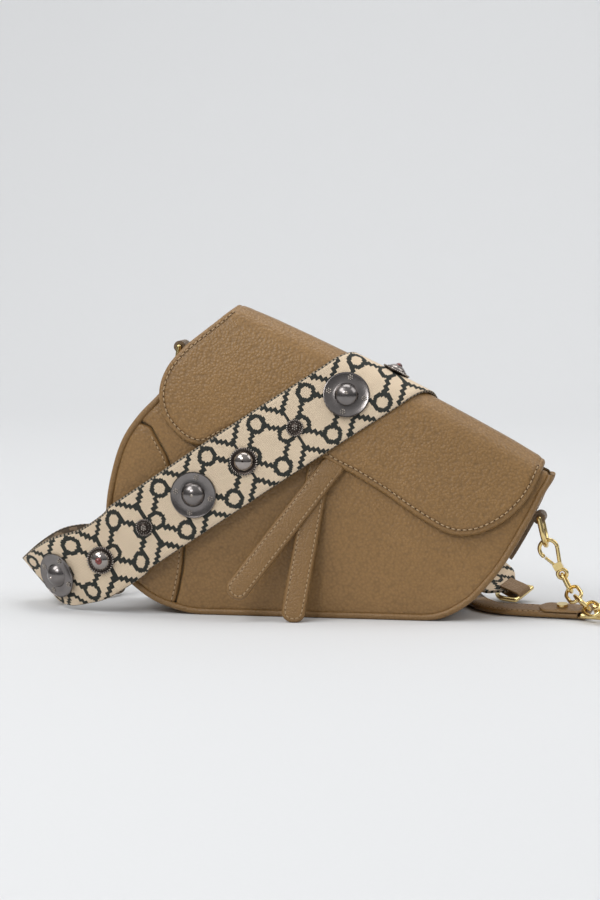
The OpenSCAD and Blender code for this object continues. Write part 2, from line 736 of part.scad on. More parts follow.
module left_strap_ring() {
    color(gold) left_end_place() translate(loop_bar)
        rotate([0, left_strap_ring_turn, 0]) d_ring();
}

// Left end of the chain strap: a short chain and a second snap hook, unclipped on the floor.
// The Y axis of each ring becomes the bar that the leather loop holds.
left_link_leans = [45, -45, 45, -15];
left_link_step = link_span - 2 * link_r - link_clear / 2;
left_chain_start = -243;
left_chain_y = 151;
left_hook_pitch = 9.5;
function left_link_z(i) = slack + link_r + (link_w / 2 - link_r) * cos(left_link_leans[i]);
module left_link(i) {
    translate([right_eye[0] + left_chain_start - i * left_link_step, left_chain_y, left_link_z(i)])
        rotate([0, -90, 0]) rotate([0, 0, left_link_leans[i]]) chain_link(link_span, link_w, link_r);
}
left_link_last = len(left_link_leans) - 1;
left_hook_x = right_eye[0] + left_chain_start - left_link_last * left_link_step - link_span;
module left_chain() {
    color(gold) for (i = [0 : left_link_last]) left_link(i);
}
module left_hook_place() {
    translate([left_hook_x, left_chain_y, left_link_z(left_link_last)])
        rotate([0, -90 - left_hook_pitch, 0]) rotate([0, 0, left_link_leans[left_link_last] - 90])
            children();
}
module left_hook() { color(gold) left_hook_place() hook_body(); }
module left_hook_gate() { color(gold) left_hook_place() hook_gate(); }

// Woven strap. It is laid out flat, with a along it and w across it, and wrapped over the flap.
web_s0_share = 0.388;
web_cross_angle = 60.1;
web_clear = 0.4;
web_rows = 6;
web_pitch = 10;
web_roll_end = 40;
web_front_end = 190;
web_back_end = 84;
web_back_top_u = 17;
web_lift = flap_gap + flap_t + web_clear;
web_seat = flap_shift + web_clear;
web_seat_from = -22;
web_seat_to = -50;
// How far the strap lies outside the profile: over the flap, and closer below its rear edge.
function lift_at(v) = v > web_seat_from ? web_lift : v < web_seat_to ? web_seat
    : web_seat + (web_lift - web_seat) * (v - web_seat_to) / (web_seat_from - web_seat_to);
roll_sweep = 90 - arc_angle;
function arc_of(r, degrees) = r * degrees * PI / 180;
function degrees_of(r, length) = length / r * 180 / PI;
// Point and normal of the profile moved outwards by g, at length v down the front from the crown.
function wrap_front(v, g) = let (roll = arc_of(top_r + g, roll_sweep),
    arc = arc_of(arc_r + g, arc_angle))
    v <= roll ? let (f = degrees_of(top_r + g, v))
        [-(top_r + g) * sin(f), top_r - (top_r + g) * cos(f), -sin(f), -cos(f)]
    : v <= roll + arc ? let (f = 180 - arc_angle + degrees_of(arc_r + g, v - roll))
        [arc_r - half_d + (arc_r + g) * cos(f), arc_u - (arc_r + g) * sin(f), cos(f), -sin(f)]
    : [-half_d - g, arc_u + v - roll - arc, -1, 0];
function wrap(v, g) = let (p = wrap_front(abs(v), g))
    v < 0 ? [-p[0], p[1], -p[2], p[3]] : p;
function web_point(a, w, h) = let (
    s = web_s0_share * body_w - a * cos(web_cross_angle) + w * sin(web_cross_angle),
    v = a * sin(web_cross_angle) + w * cos(web_cross_angle),
    p = wrap(v, lift_at(v)))
    on_top(s, p[0] + h * p[2] - flap_shift, p[1] + h * p[3]);
function web_ws(across) = [for (i = [0 : web_rows]) (i / web_rows - 0.5) * across];
function web_ring(a) = concat(
    [for (w = web_ws(web_w)) web_point(a, w, web_t)],
    [for (w = web_ws(-web_w)) web_point(a, w, 0)]);

// Where the strap leaves the bag, each place is its upper edge, its lower edge.
tail = [[[-120.4, -37, 60.5], [-95.4, -37, 23.1]], [[-134.5, -36, 51.1], [-116, -36, 9.8]],
    [[-153, -32, 45], [-131, -32, 5]], [[-170, -16, 35.5], [-143, -28, 3]],
    [[-182, 4, 27.5], [-153, -18, 5]], [[-173, 14, 36.5], [-151, -3, 4]],
    [[-162, 21, 43.5], [-145, 8, 3]], [[-150, 24, 46.3], [-138, 17, 1.8]],
    [[-137, 28, 46.5], [-130, 25, 1.6]], [[-128, 40, 46.5], [-127, 40, 1.6]]];
back_fold = [[[36.5, 31.4, 52], [81.5, 29, 54]], [[36.5, 34.5, 30], [81.5, 34.6, 53]],
    [[36.5, 36.5, 8], [81.5, 37, 51]], [[39, 39, 2.4], [82.5, 40.5, 47]],
    [[48, 42, 1.8], [84.5, 45, 45.5]], [[62, 43, 2.8], [90, 48.5, 44]],
    [[78, 43, 4.8], [98, 55, 42]], [[90, 42, 7.2], [106, 64, 30]], [[100, 40, 8], [117, 71, 19]]];
function edge_mid(e) = (e[0] + e[1]) / 2;
function edge_normal(list, i) = let (n = len(list),
    t = edge_mid(list[min(i + 1, n - 1)]) - edge_mid(list[max(i - 1, 0)]),
    across = list[i][1] - list[i][0]) unit(cross(across, t));
function edge_ring(e, n) = concat(
    [for (i = [0 : web_rows]) e[0] + (e[1] - e[0]) * i / web_rows + n * web_t / 2],
    [for (i = [0 : web_rows]) e[1] + (e[0] - e[1]) * i / web_rows - n * web_t / 2]);
tail_n = [for (i = [0 : len(tail) - 1]) -edge_normal(tail, i)];
fold_n = [for (i = [0 : len(back_fold) - 1]) edge_normal(back_fold, i)];
front_run_start = -60;
// What lies behind the bag and at least u below its top edge, on the strap's side of the bag.
module behind_top(u) {
    translate([top_left[0], 0, top_left[1]]) rotate([0, top_slope, 0])
        translate([behind_from, 0, -2 * body_h]) cube([span_s, 3 * body_d, 2 * body_h - u]);
}
behind_from = 40;
module woven_strap_front() {
    color(cream) difference() {
        skin(concat(
            [for (a = [front_run_start : web_pitch / 2 : web_roll_end - web_pitch / 2]) web_ring(a)],
            [for (a = [web_roll_end : web_pitch : web_front_end - web_pitch]) web_ring(a)],
            [for (i = [0 : len(tail) - 1]) edge_ring(tail[i], tail_n[i])]));
        behind_top(hinge_u);
    }
}
module woven_strap_back() {
    color(cream) intersection() {
        skin(concat(
            [for (i = [len(back_fold) - 1 : -1 : 0]) edge_ring(back_fold[i], fold_n[i])],
            [for (a = [-web_back_end : web_pitch : 0]) web_ring(a)]));
        behind_top(web_back_top_u);
    }
}

// A place on the strap: its point, the strap's direction and the way out of its face.
module place_on(p, heading, n) {
    x = unit(heading - (heading * n) * n);
    y = cross(n, x);
    multmatrix([[x[0], y[0], n[0], p[0]], [x[1], y[1], n[1], p[1]], [x[2], y[2], n[2], p[2]],
        [0, 0, 0, 1]]) children();
}
function between(list, f) = let (i = floor(f)) list[i] + (list[i + 1] - list[i]) * (f - i);
// Puts its children on a list of the strap's edges, f places along it.
module on_edges(edges, normals, f, lift) {
    n = unit(between(normals, f));
    i = floor(f);
    place_on(between([for (e = edges) edge_mid(e)], f) + n * (web_t / 2 + lift),
        edge_mid(edges[i + 1]) - edge_mid(edges[i]), n) children();
}
module stud_place(k) {
    a = web_first_stud + k * stud_pitch;
    if (a > web_front_end)
        on_edges(tail, tail_n, (a - tail_from) / tail_pitch, tail_stud_lift) children();
    else if (a < -web_back_end)
        on_edges(back_fold, fold_n, (-a - fold_from) / fold_pitch, fold_stud_lift) children();
    else {
        p = web_point(a, 0, web_t + (a < back_stud_from ? back_stud_lift : 0));
        n = unit(web_point(a, 0, 2 * web_t) - web_point(a, 0, web_t));
        place_on(p, web_point(a + 1, 0, web_t) - web_point(a, 0, web_t), n) children();
    }
}
web_first_stud = 33.4;
back_stud_from = -30;
back_stud_lift = 0.5;
tail_from = 199.4;
tail_pitch = 20.5;
tail_stud_lift = 1.5;
fold_from = 97.4;
fold_pitch = 11.9;
fold_stud_lift = 0.9;
stud_fn = 72;
disc_t = 1.2;
rim_t = 1.68;
dome_steps = 6;
// Points of a dome's side from its foot to its top: r wide at its foot, h high, with its foot at z.
function dome_side(r, h, z) = let (ball = (r * r + h * h) / (2 * h), from = asin(r / ball))
    [for (k = [0 : dome_steps]) let (a = from * (1 - k / dome_steps))
        [ball * sin(a), z + h - ball + ball * cos(a)]];
module ring_of(n, r) {
    for (i = [0 : n - 1]) rotate([0, 0, (i + 0.5) * 360 / n]) translate([r, 0, 0]) children();
}
large_mark_count = 4;
large_rim_share = 0.92;
large_dome_share = [0.52, 0.32];
large_mark_share = [0.73, 0.12];
module large_stud() {
    r = large_stud_r;
    rotate_extrude($fn = stud_fn) polygon(concat([[0, 0], [r, 0], [r, rim_t],
        [r * large_rim_share, disc_t]], dome_side(r * large_dome_share[0], r * large_dome_share[1],
        disc_t)));
    ring_of(large_mark_count, r * large_mark_share[0]) translate([0, 0, disc_t / 2])
        cylinder(h = disc_t, r = r * large_mark_share[1], $fn = stud_fn);
}
middle_rim_shares = [0.94, 0.9, 0.8];
middle_rim_t = 2.4;
middle_dome_share = [0.66, 0.44];
module middle_stud() {
    r = middle_stud_r;
    rotate_extrude($fn = stud_fn) polygon(concat([[0, 0], [r * middle_rim_shares[0], 0],
        [r, disc_t], [r * middle_rim_shares[1], middle_rim_t], [r * middle_rim_shares[2], disc_t]],
        dome_side(r * middle_dome_share[0], r * middle_dome_share[1], disc_t)));
}
small_bead_count = 8;
small_dome_share = [0.5, 0.36];
small_bead_share = [0.78, 0.15];
module small_stud() {
    r = small_stud_r;
    rotate_extrude($fn = stud_fn) polygon(concat([[0, 0], [r, 0], [r, disc_t]],
        dome_side(r * small_dome_share[0], r * small_dome_share[1], disc_t)));
    ring_of(small_bead_count, r * small_bead_share[0]) translate([0, 0, disc_t / 2])
        cylinder(h = disc_t, r = r * small_bead_share[1], $fn = stud_fn);
}
module strap_studs_large() { color(gunmetal) for (k = [0, 3, 6]) stud_place(k) large_stud(); }
module strap_studs_middle() { color(gunmetal) for (k = [-1, 2, 5]) stud_place(k) middle_stud(); }
module strap_studs_small() { color(gunmetal) for (k = [1, 4]) stud_place(k) small_stud(); }
module strap_studs_back() {
    color(gunmetal) {
        stud_place(-2) small_stud();
        stud_place(-3) large_stud();
        stud_place(-4) middle_stud();
    }
}

// Leather end of the woven strap with the ring that it holds. Local X runs out of the strap.
end_tab_len = 20;
end_tab_t = 3.2;
end_tab_shoulder_share = 0.55;
end_tab_edge = 1.5;
module end_tab() {
    half = web_w / 2 - end_tab_edge;
    loop = ring_tab_w / 2;
    difference() {
        union() {
            translate([0, 0, -end_tab_t / 2]) linear_extrude(height = end_tab_t)
                polygon([[2 * slack, -half], [end_tab_len * end_tab_shoulder_share, -loop],
                    [end_tab_len, -loop], [end_tab_len, loop],
                    [end_tab_len * end_tab_shoulder_share, loop], [2 * slack, half]]);
            translate([end_tab_len, 0, 0]) rotate([90, 0, 0])
                cylinder(h = ring_tab_w, r = ring_loop_r + end_tab_t / 2, center = true,
                    $fn = round_fn);
        }
        translate([end_tab_len, 0, 0]) rotate([90, 0, 0])
            cylinder(h = ring_tab_w + overrun, r = ring_loop_r, center = true, $fn = round_fn);
    }
}
front_ring_turn = -90;
back_ring_turn = 70;
back_tab_hint = [0.8, -0.5, -0.42];
back_end_edge = back_fold[len(back_fold) - 1][1] - back_fold[len(back_fold) - 1][0];
back_tab_dir = unit(back_tab_hint
    - (back_tab_hint * back_end_edge) / (back_end_edge * back_end_edge) * back_end_edge);
module front_end_place() {
    place_on(edge_mid(tail[len(tail) - 1]), [0, 1, 0], [-1, 0, 0]) children();
}
module back_end_place() {
    last = back_fold[len(back_fold) - 1];
    n = unit(cross(back_end_edge, back_tab_dir));
    place_on(edge_mid(last) + web_t * back_tab_dir, back_tab_dir, -n) children();
}
module front_end_tab() { color(leather) front_end_place() end_tab(); }
module back_end_tab() { color(leather) back_end_place() end_tab(); }
module front_end_ring() {
    color(gold) front_end_place() translate([end_tab_len, 0, 0]) rotate([0, front_ring_turn, 0])
        d_ring();
}
module back_end_ring() {
    color(gold) back_end_place() translate([end_tab_len, 0, 0]) rotate([0, back_ring_turn, 0])
        d_ring();
}

front_panel();
front_side_panel();
back_panel();
gusset();
front_edge_roll();
back_edge_roll();
lining();
base_board();
inner_pocket();
magnet_socket();
flap_outer();
flap_lining();
magnet_plug();
tab_anchor();
left_hanging_tab();
right_hanging_tab();
right_ring_tab();
left_ring_tab();
right_d_ring();
left_d_ring();
right_hook();
right_hook_gate();
hook_link();
chain_link_1();
chain_link_2();
chain_link_3();
chain_link_4();
chain_link_5();
chain_link_6();
chain_link_7();
right_strap_ring();
right_strap_end();
right_end_stud();
shoulder_strap();
left_strap_end();
left_end_stud();
left_strap_ring();
left_chain();
left_hook();
left_hook_gate();
woven_strap_front();
woven_strap_back();
strap_studs_large();
strap_studs_middle();
strap_studs_small();
strap_studs_back();
front_end_tab();
front_end_ring();
back_end_tab();
back_end_ring();
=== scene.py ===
"""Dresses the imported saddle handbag: leather skins, woven strap, ornaments, stitching and metal.

Lengths in the tables are millimetres and the finished meshes are metres, in the CAD frame."""

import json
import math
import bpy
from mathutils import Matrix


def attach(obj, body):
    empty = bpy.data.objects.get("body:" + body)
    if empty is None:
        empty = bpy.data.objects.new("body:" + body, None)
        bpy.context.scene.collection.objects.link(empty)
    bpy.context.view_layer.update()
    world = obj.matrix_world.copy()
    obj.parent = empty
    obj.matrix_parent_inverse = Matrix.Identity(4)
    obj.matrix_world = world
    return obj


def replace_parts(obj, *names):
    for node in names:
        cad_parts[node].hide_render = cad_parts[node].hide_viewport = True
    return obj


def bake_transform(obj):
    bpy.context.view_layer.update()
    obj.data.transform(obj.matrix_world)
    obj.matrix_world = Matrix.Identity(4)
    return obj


bl_info = {
    "name": "Saddle handbag looks",
    "version": (1, 0, 0),
    "blender": (4, 5, 0),
    "location": "3D View > Sidebar > Handbag",
    "description": "Builds the leather, woven strap, ornaments and metal of a saddle handbag",
    "category": "Add Mesh",
}

import bpy
import numpy as np
from bpy.props import FloatProperty, FloatVectorProperty, PointerProperty
from mathutils import Vector

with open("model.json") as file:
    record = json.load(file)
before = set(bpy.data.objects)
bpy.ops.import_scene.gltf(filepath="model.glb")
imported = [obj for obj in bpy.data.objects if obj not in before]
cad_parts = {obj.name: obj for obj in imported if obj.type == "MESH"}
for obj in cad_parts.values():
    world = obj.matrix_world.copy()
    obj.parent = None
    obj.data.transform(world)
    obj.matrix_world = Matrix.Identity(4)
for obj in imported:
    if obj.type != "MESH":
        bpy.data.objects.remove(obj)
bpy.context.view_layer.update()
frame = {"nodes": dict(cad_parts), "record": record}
MM = 0.001
# Azimuth and elevation in degrees, place aimed at and distance in metres, lens in millimetres.
CAMERA_TURN, CAMERA_AIM = (10.0, 5.5), (0.0, -0.031, 0.101)
CAMERA_DISTANCE, CAMERA_LENS = 1.5, 100.5

# Sizes and outlines of the bag, as in the part's source.
BODY_W, BODY_H, HALF_D = 266.0, 187.5, 31.0
TOP_R, ARC_U = 12.0, 0.586 * BODY_H
FLAP_FRONT_GAP, FLAP_BACK_GAP, FLAP_T = 3.4, 0.4, 2.8
FLAP_SHIFT = (FLAP_FRONT_GAP - FLAP_BACK_GAP) / 2
FLAP_GAP = (FLAP_FRONT_GAP + FLAP_BACK_GAP) / 2
SLOPE = math.radians(26.2)
ALONG = np.array([math.cos(SLOPE), -math.sin(SLOPE)])
DOWN = np.array([-math.sin(SLOPE), -math.cos(SLOPE)])
TOP_LEFT = np.array([-0.1625 * BODY_W, BODY_H]) + (FLAP_GAP + FLAP_T) * DOWN
ARC_R = ((ARC_U - TOP_R) ** 2 + HALF_D**2 - TOP_R**2) / (2 * (HALF_D - TOP_R))
ARC_ANGLE = math.atan((ARC_U - TOP_R) / (ARC_R - HALF_D))
ROLL_SWEEP = math.pi / 2 - ARC_ANGLE
# Swell of the stuffed top above its straight line: height, shape along it and reach down.
CROWN_RISE, CROWN_POWER, CROWN_REACH = 3.4, 0.7, 26.0
# Sewn edges: distance in from the edge, half width of the groove, and the leather's rounding.
SEW_IN, GROOVE_HALF, EDGE_ROUND = 3.3, 0.55, 1.8
# Stitches: pitch, length, radius and how deep they sit.
STITCH_PITCH, STITCH_L, STITCH_R, STITCH_SINK = 3.4, 2.5, 0.42, 0.1
# Ornaments' radii, and the place of the middle one without a stone.
LARGE_R, MIDDLE_R, SMALL_R, PLAIN_STUD = 14.0, 8.8, 5.4, 2
FLAP_END_S = 0.787 * BODY_W

BODY_SHARES = [
    (0.00, 0.0), (0.14, 0.0), (0.28, 0.0), (0.335, 0.017), (0.385, 0.06), (0.424, 0.117),
    (0.459, 0.182), (0.501, 0.285), (0.536, 0.385), (0.558, 0.482), (0.45, 0.60), (0.15, 0.785),
    (-0.165, 0.995), (-0.238, 0.872), (-0.318, 0.727), (-0.374, 0.642), (-0.412, 0.56),
    (-0.437, 0.45), (-0.4495, 0.335), (-0.444, 0.215), (-0.42, 0.135), (-0.375, 0.075),
    (-0.33, 0.035), (-0.27, 0.008), (-0.22, 0.0), (-0.10, 0.0),
]
FLAP_SHARES = [
    (-0.1625, 1.0), (-0.183, 0.978), (-0.227, 0.928), (-0.262, 0.887), (-0.287, 0.848),
    (-0.304, 0.812), (-0.315, 0.77), (-0.318, 0.73), (-0.314, 0.69), (-0.302, 0.65),
    (-0.282, 0.615), (-0.256, 0.585), (-0.229, 0.57), (-0.205, 0.572), (-0.17, 0.60),
    (-0.11, 0.632), (-0.05, 0.622), (0.01, 0.575), (0.079, 0.515), (0.127, 0.482),
    (0.195, 0.425), (0.247, 0.375), (0.295, 0.333), (0.335, 0.304), (0.371, 0.294),
    (0.414, 0.303), (0.465, 0.339), (0.504, 0.39), (0.528, 0.442), (0.542, 0.49),
]
SEAM_SHARES = [
    (-0.352, 0.622), (-0.327, 0.56), (-0.304, 0.5), (-0.283, 0.40), (-0.271, 0.29),
    (-0.269, 0.19), (-0.278, 0.10), (-0.290, 0.03),
]


# ---------------------------------------------------------------- curves and surfaces

def sized(shares):
    """Shares of the body's width and height as millimetres."""
    return np.array(shares) * [BODY_W, BODY_H]


def smooth(points, steps, closed=False):
    """A smooth curve through the points, with steps pieces between two of them."""
    p = np.asarray(points, float)
    n = len(p)
    near = np.arange(n if closed else n - 1)[:, None] + [-1, 0, 1, 2]
    near = near % n if closed else np.clip(near, 0, n - 1)
    a, b, c, d = np.moveaxis(p[near], 1, 0)[:, :, None]
    t = (np.arange(steps) / steps)[:, None]
    out = 0.5 * (2 * b + (c - a) * t + (2 * a - 5 * b + 4 * c - d) * t * t
                 + (3 * b - a - 3 * c + d) * t**3)
    out = out.reshape(-1, p.shape[1])
    return out if closed else np.concatenate([out, p[-1:]])


def unit(v):
    v = np.asarray(v, float)
    return v / np.maximum(np.linalg.norm(v, axis=-1, keepdims=True), 1e-9)


def tangents(path, closed=False):
    if closed:
        return unit(np.roll(path, -1, 0) - np.roll(path, 1, 0))
    return unit(np.gradient(path, axis=0))


def inset(loop, distance):
    """A closed flat loop, anticlockwise, moved inwards."""
    t = tangents(loop, True)
    return loop + distance * np.stack([-t[:, 1], t[:, 0]], 1)


def lengths_along(path):
    return np.concatenate([[0], np.linalg.norm(np.diff(path, axis=0), axis=1).cumsum()])


def resample(path, step):
    """Points a step apart along a path."""
    lengths = lengths_along(path)
    at = np.linspace(0, lengths[-1], max(int(round(lengths[-1] / step)), 1) + 1)
    return np.stack([np.interp(at, lengths, path[:, k]) for k in range(path.shape[1])], 1)


def bell(d, centre, width):
    return np.exp(-(((d - centre) / width) ** 2))


def rounded(d, radius, least=0.0):
    """A quarter circle's rise with the distance d from an edge, from least to 1."""
    return np.sqrt(np.clip(1 - (1 - np.clip(d / radius, 0, 1)) ** 2, least, 1))


def su_of(xz):
    """Picture-plane points as distances along the top edge and straight down from it."""
    d = np.asarray(xz, float) - TOP_LEFT
    return d @ ALONG, d @ DOWN


def half_depth(u):
    """Half the body's depth at a distance down from the top edge."""
    u = np.asarray(u, float)
    arc = HALF_D - ARC_R + np.sqrt(np.maximum(ARC_R**2 - (ARC_U - u) ** 2, 0))
    return np.where(u >= ARC_U, HALF_D, arc)


def wrap(v, g):
    """Y, u and the normal of the side profile moved outwards by g, at length v down the front."""
    side, v = np.sign(v + 1e-9), np.abs(v)
    roll, arc = (TOP_R + g) * ROLL_SWEEP, (ARC_R + g) * ARC_ANGLE
    f = v / (TOP_R + g)
    h = math.pi - ARC_ANGLE + (v - roll) / (ARC_R + g)
    y = np.where(v <= roll, -(TOP_R + g) * np.sin(f),
                 np.where(v <= roll + arc, ARC_R - HALF_D + (ARC_R + g) * np.cos(h), -HALF_D - g))
    u = np.where(v <= roll, TOP_R - (TOP_R + g) * np.cos(f),
                 np.where(v <= roll + arc, ARC_U - (ARC_R + g) * np.sin(h),
                          ARC_U + v - roll - arc))
    ny = np.where(v <= roll, -np.sin(f), np.where(v <= roll + arc, np.cos(h), -1.0))
    nu = np.where(v <= roll, -np.cos(f), np.where(v <= roll + arc, -np.sin(h), 0.0))
    return y * side, u, ny * side, nu


WRAP_V = np.linspace(0, 240, 2401)
FLAP_G = FLAP_GAP + FLAP_T
WRAP_U = wrap(WRAP_V, FLAP_G)[1]


def on_top(s, y, u):
    """Places from lengths along the top edge, Y and distances down from that edge."""
    flat = TOP_LEFT + np.multiply.outer(s, ALONG) + np.multiply.outer(u, DOWN)
    return np.stack([flat[..., 0], y + 0 * flat[..., 0], flat[..., 1]], -1)


def crown(s, v):
    """How far the stuffed top swells above its straight CAD line."""
    across = np.clip(np.asarray(s) / FLAP_END_S, 0, 1)
    return CROWN_RISE * np.sin(math.pi * across) ** CROWN_POWER * bell(v, 2, CROWN_REACH)


def over_flap(s, v, g, h):
    """A place h outside the side profile that is moved outwards by g, with the crown's swell."""
    y, u, ny, nu = wrap(v, g)
    out = h + crown(s, v)
    return on_top(s, y + out * ny - FLAP_SHIFT, u + out * nu)


BODY_LOOP = smooth(sized(BODY_SHARES), 12, True)
BODY_LOOP[:, 1] = np.maximum(BODY_LOOP[:, 1], 0)
SEAM = smooth(sized(SEAM_SHARES), 8)


# ---------------------------------------------------------------- shader building

class Value:
    """A shader socket that takes part in sums."""

    def __init__(self, nodes, socket):
        self.nodes, self.socket = nodes, socket

    def math(self, operation, *others):
        return self.nodes.node("ShaderNodeMath", {"operation": operation}, [self, *others])

    def __add__(self, other):
        return self.math("ADD", other)

    def __sub__(self, other):
        return self.math("SUBTRACT", other)

    def __rsub__(self, other):
        return self.nodes.node("ShaderNodeMath", {"operation": "SUBTRACT"}, [other, self])

    def __mul__(self, other):
        return self.math("MULTIPLY", other)

    def __lt__(self, other):
        return self.math("LESS_THAN", other)

    def __gt__(self, other):
        return self.math("GREATER_THAN", other)

    def __abs__(self):
        return self.math("ABSOLUTE")

    __radd__, __rmul__ = __add__, __mul__

    def ramp(self, low, high):
        """0 below low, 1 above high and straight between them."""
        return ((self - low) * (1 / (high - low))).math("MAXIMUM", 0.0).math("MINIMUM", 1.0)


class Nodes:
    """A node tree that is filled with Values."""

    def __init__(self, tree):
        self.tree = tree

    def node(self, kind, settings=None, inputs=(), output=0):
        """A node with its settings, then its inputs by order or by name."""
        node = self.tree.nodes.new(kind)
        for key, value in (settings or {}).items():
            setattr(node, key, value)
        pairs = inputs.items() if isinstance(inputs, dict) else enumerate(inputs)
        for key, value in pairs:
            self.fill(node.inputs[key], value)
        return Value(self, node.outputs[output])

    def fill(self, socket, value):
        if isinstance(value, Value):
            self.tree.links.new(value.socket, socket)
        else:
            socket.default_value = value


class Finish(Nodes):
    """A material on one Principled shader."""

    def __init__(self, name, roughness, metallic=0.0, **settings):
        self.material = bpy.data.materials.new(name)
        self.material.use_nodes = True
        super().__init__(self.material.node_tree)
        self.shader = self.tree.nodes["Principled BSDF"]
        self.place = self.node("ShaderNodeTexCoord", output=3)
        self.set("Roughness", roughness)
        self.set("Metallic", metallic)
        for key, value in settings.items():
            self.set(key.replace("_", " "), value)

    def set(self, name, value):
        self.fill(self.shader.inputs[name], value)

    def noise(self, scale, detail, output=0):
        return self.node("ShaderNodeTexNoise", None,
                         {"Vector": self.place, "Scale": scale, "Detail": detail}, output)

    def mix(self, factor, a, b):
        return self.node("ShaderNodeMix", {"data_type": "RGBA"}, {0: factor, 6: a, 7: b}, output=2)

    def tones(self, factor, colour, dark, light):
        """The base colour, from a darker to a lighter tone of one colour."""
        self.set("Base Color", self.mix(factor, rgb(colour, dark), rgb(colour, light)))

    def bump(self, height, distance, strength=1.0):
        self.set("Normal", self.node("ShaderNodeBump", None, {
            "Height": height, "Distance": distance, "Strength": strength}))

    def strap_uv(self):
        """Lengths along and across a strap, in metres."""
        uv = self.node("ShaderNodeUVMap", {"uv_map": "strap"})
        return [self.node("ShaderNodeSeparateXYZ", None, [uv], k) for k in (0, 1)]


def srgb(red, green, blue):
    """A picture's colour, 0 to 255, as a shader's colour."""
    levels = [c / 255 for c in (red, green, blue)]
    return tuple(c / 12.92 if c <= 0.04045 else ((c + 0.055) / 1.055) ** 2.4 for c in levels)


def rgb(colour, factor=1.0):
    return tuple(min(c * factor, 1.0) for c in colour[:3]) + (1.0,)


FINISHES = {}


def leather_finish(name, colour, cell=600.0, depth=0.00032, roughness=0.38, contrast=1.0):
    """Pebbled leather: soft rounded grains, drawn out a little, and a slow change of tone."""
    f = Finish(name, roughness)
    bent = f.node("ShaderNodeMix", {"data_type": "VECTOR"},
                  {0: 0.0004, 4: f.place, 5: f.noise(200.0, 1.0, 1)}, output=1)
    grain = f.node("ShaderNodeTexVoronoi", {"feature": "SMOOTH_F1"},
                   {"Vector": bent, "Scale": cell, "Smoothness": 0.35})
    large, folds, fine = f.noise(14.0, 2.0), f.noise(300.0, 3.0), f.noise(1500.0, 2.0)
    tone = ((large - 0.5) * 0.6 + (0.5 - grain) * 0.75 * contrast + (folds - 0.5) * 0.4
            + (fine - 0.5) * 0.25 + 0.5)
    f.tones(tone.ramp(0.0, 1.0), colour, 0.72, 1.24)
    f.set("Roughness", fine * 0.12 + grain * 0.18 + (roughness - 0.1))
    f.bump(f.noise(24.0, 1.0) * 4.2 + folds * 0.1 - grain * 0.95 + fine * 0.04, depth)
    return f


def webbing_pattern(f, thread=0.00085):
    """Masks of the woven design and its threads, on the strap's own lengths."""
    along, across = f.strap_uv()
    qa, qw = along.math("SNAP", thread), across.math("SNAP", thread)
    repeat, side, ring, line = 0.0350, 0.0150, 0.0046, 0.0013

    def folded(value, shift):
        return ((value * (1 / repeat) + shift).math("FRACT") - 0.5) * repeat

    def distance(a, b):
        return (a * a + b * b).math("SQRT")

    edge_a, mid_a, w = folded(qa, 0.0), folded(qa, 0.5), abs(qw)
    outer = distance(edge_a, w - side)
    pair = distance(abs(mid_a) - 0.0052, qw)
    rings = (abs(outer - 0.0047) < 0.00135).math("MAXIMUM", abs(pair - 0.0045) < line)
    clear = (outer > ring) * (pair > 0.0045)
    steps = along.math("SNAP", 0.0022)
    near, far = abs(folded(steps, 0.0)), abs(folded(steps, 0.5))
    slope = abs(w + near - 0.0155) < 0.0021
    chevron = abs(w - far - 0.0125) < 0.0020
    lattice = slope.math("MAXIMUM", chevron) * clear
    stub = (abs(edge_a) < 0.0012) * (w > side + ring)
    spine = (abs(mid_a) < 0.0011) * (w < 0.0125)
    mask = rings.math("MAXIMUM", lattice).math("MAXIMUM", stub).math("MAXIMUM", spine)
    edge = w.ramp(0.0214, 0.0216)
    dash = (along * (1 / 0.0024)).math("FRACT") > 0.45
    ribs = (along * (2 * math.pi / thread)).math("SINE")
    wale = (across * (math.pi / thread)).math("SINE")
    return mask, edge, dash, ribs, wale


def webbing_finish(name, ground, ink, selvedge):
    f = Finish(name, 0.88)
    mask, edge, dash, ribs, wale = webbing_pattern(f)
    worn = f.noise(160.0, 3.0)
    body = f.mix(mask, rgb(ground), rgb(ink))
    rim = f.mix(dash, rgb(selvedge), rgb(ground, 0.45))
    both = f.mix(edge, body, rim)
    shade = (worn - 0.5) * 0.5 + ribs * 0.14 + abs(wale) * 0.16
    tone = f.mix((shade + 0.45).ramp(0.0, 1.0), rgb((0.72, 0.70, 0.68)), rgb((1.0, 1.0, 1.0)))
    f.set("Base Color", f.node("ShaderNodeMix", {"data_type": "RGBA", "blend_type": "MULTIPLY"},
                               {0: 1.0, 6: both, 7: tone}, output=2))
    f.set("Roughness", worn * 0.12 + 0.8)
    f.bump(ribs * 0.4 + abs(wale) * 0.4 + worn * 0.4, 0.0003, 0.8)
    return f


def metal_finish(name, colour, roughness, scratch=0.10):
    f = Finish(name, roughness, 1.0)
    cloud = f.noise(210.0, 4.0)
    f.tones(cloud.ramp(0.3, 0.7), colour, 0.86, 1.0)
    f.set("Roughness", cloud * scratch + (roughness - scratch / 2))
    f.bump(f.noise(900.0, 2.0), 0.00003, 0.5)
    return f


def cloth_finish(name, colour):
    f = Finish(name, 0.9)
    nap, broad = f.noise(900.0, 4.0), f.noise(30.0, 2.0)
    f.tones((nap * 0.6 + broad * 0.4).ramp(0.3, 0.7), colour, 0.8, 1.15)
    f.set("Roughness", nap * 0.1 + 0.85)
    f.bump(nap, 0.0002, 0.6)
    return f


def board_finish(name, colour):
    f = Finish(name, 0.7)
    grey = f.noise(500.0, 4.0)
    f.tones(grey, colour, 0.8, 1.2)
    f.set("Roughness", grey * 0.1 + 0.65)
    f.bump(grey, 0.0001, 0.5)
    return f


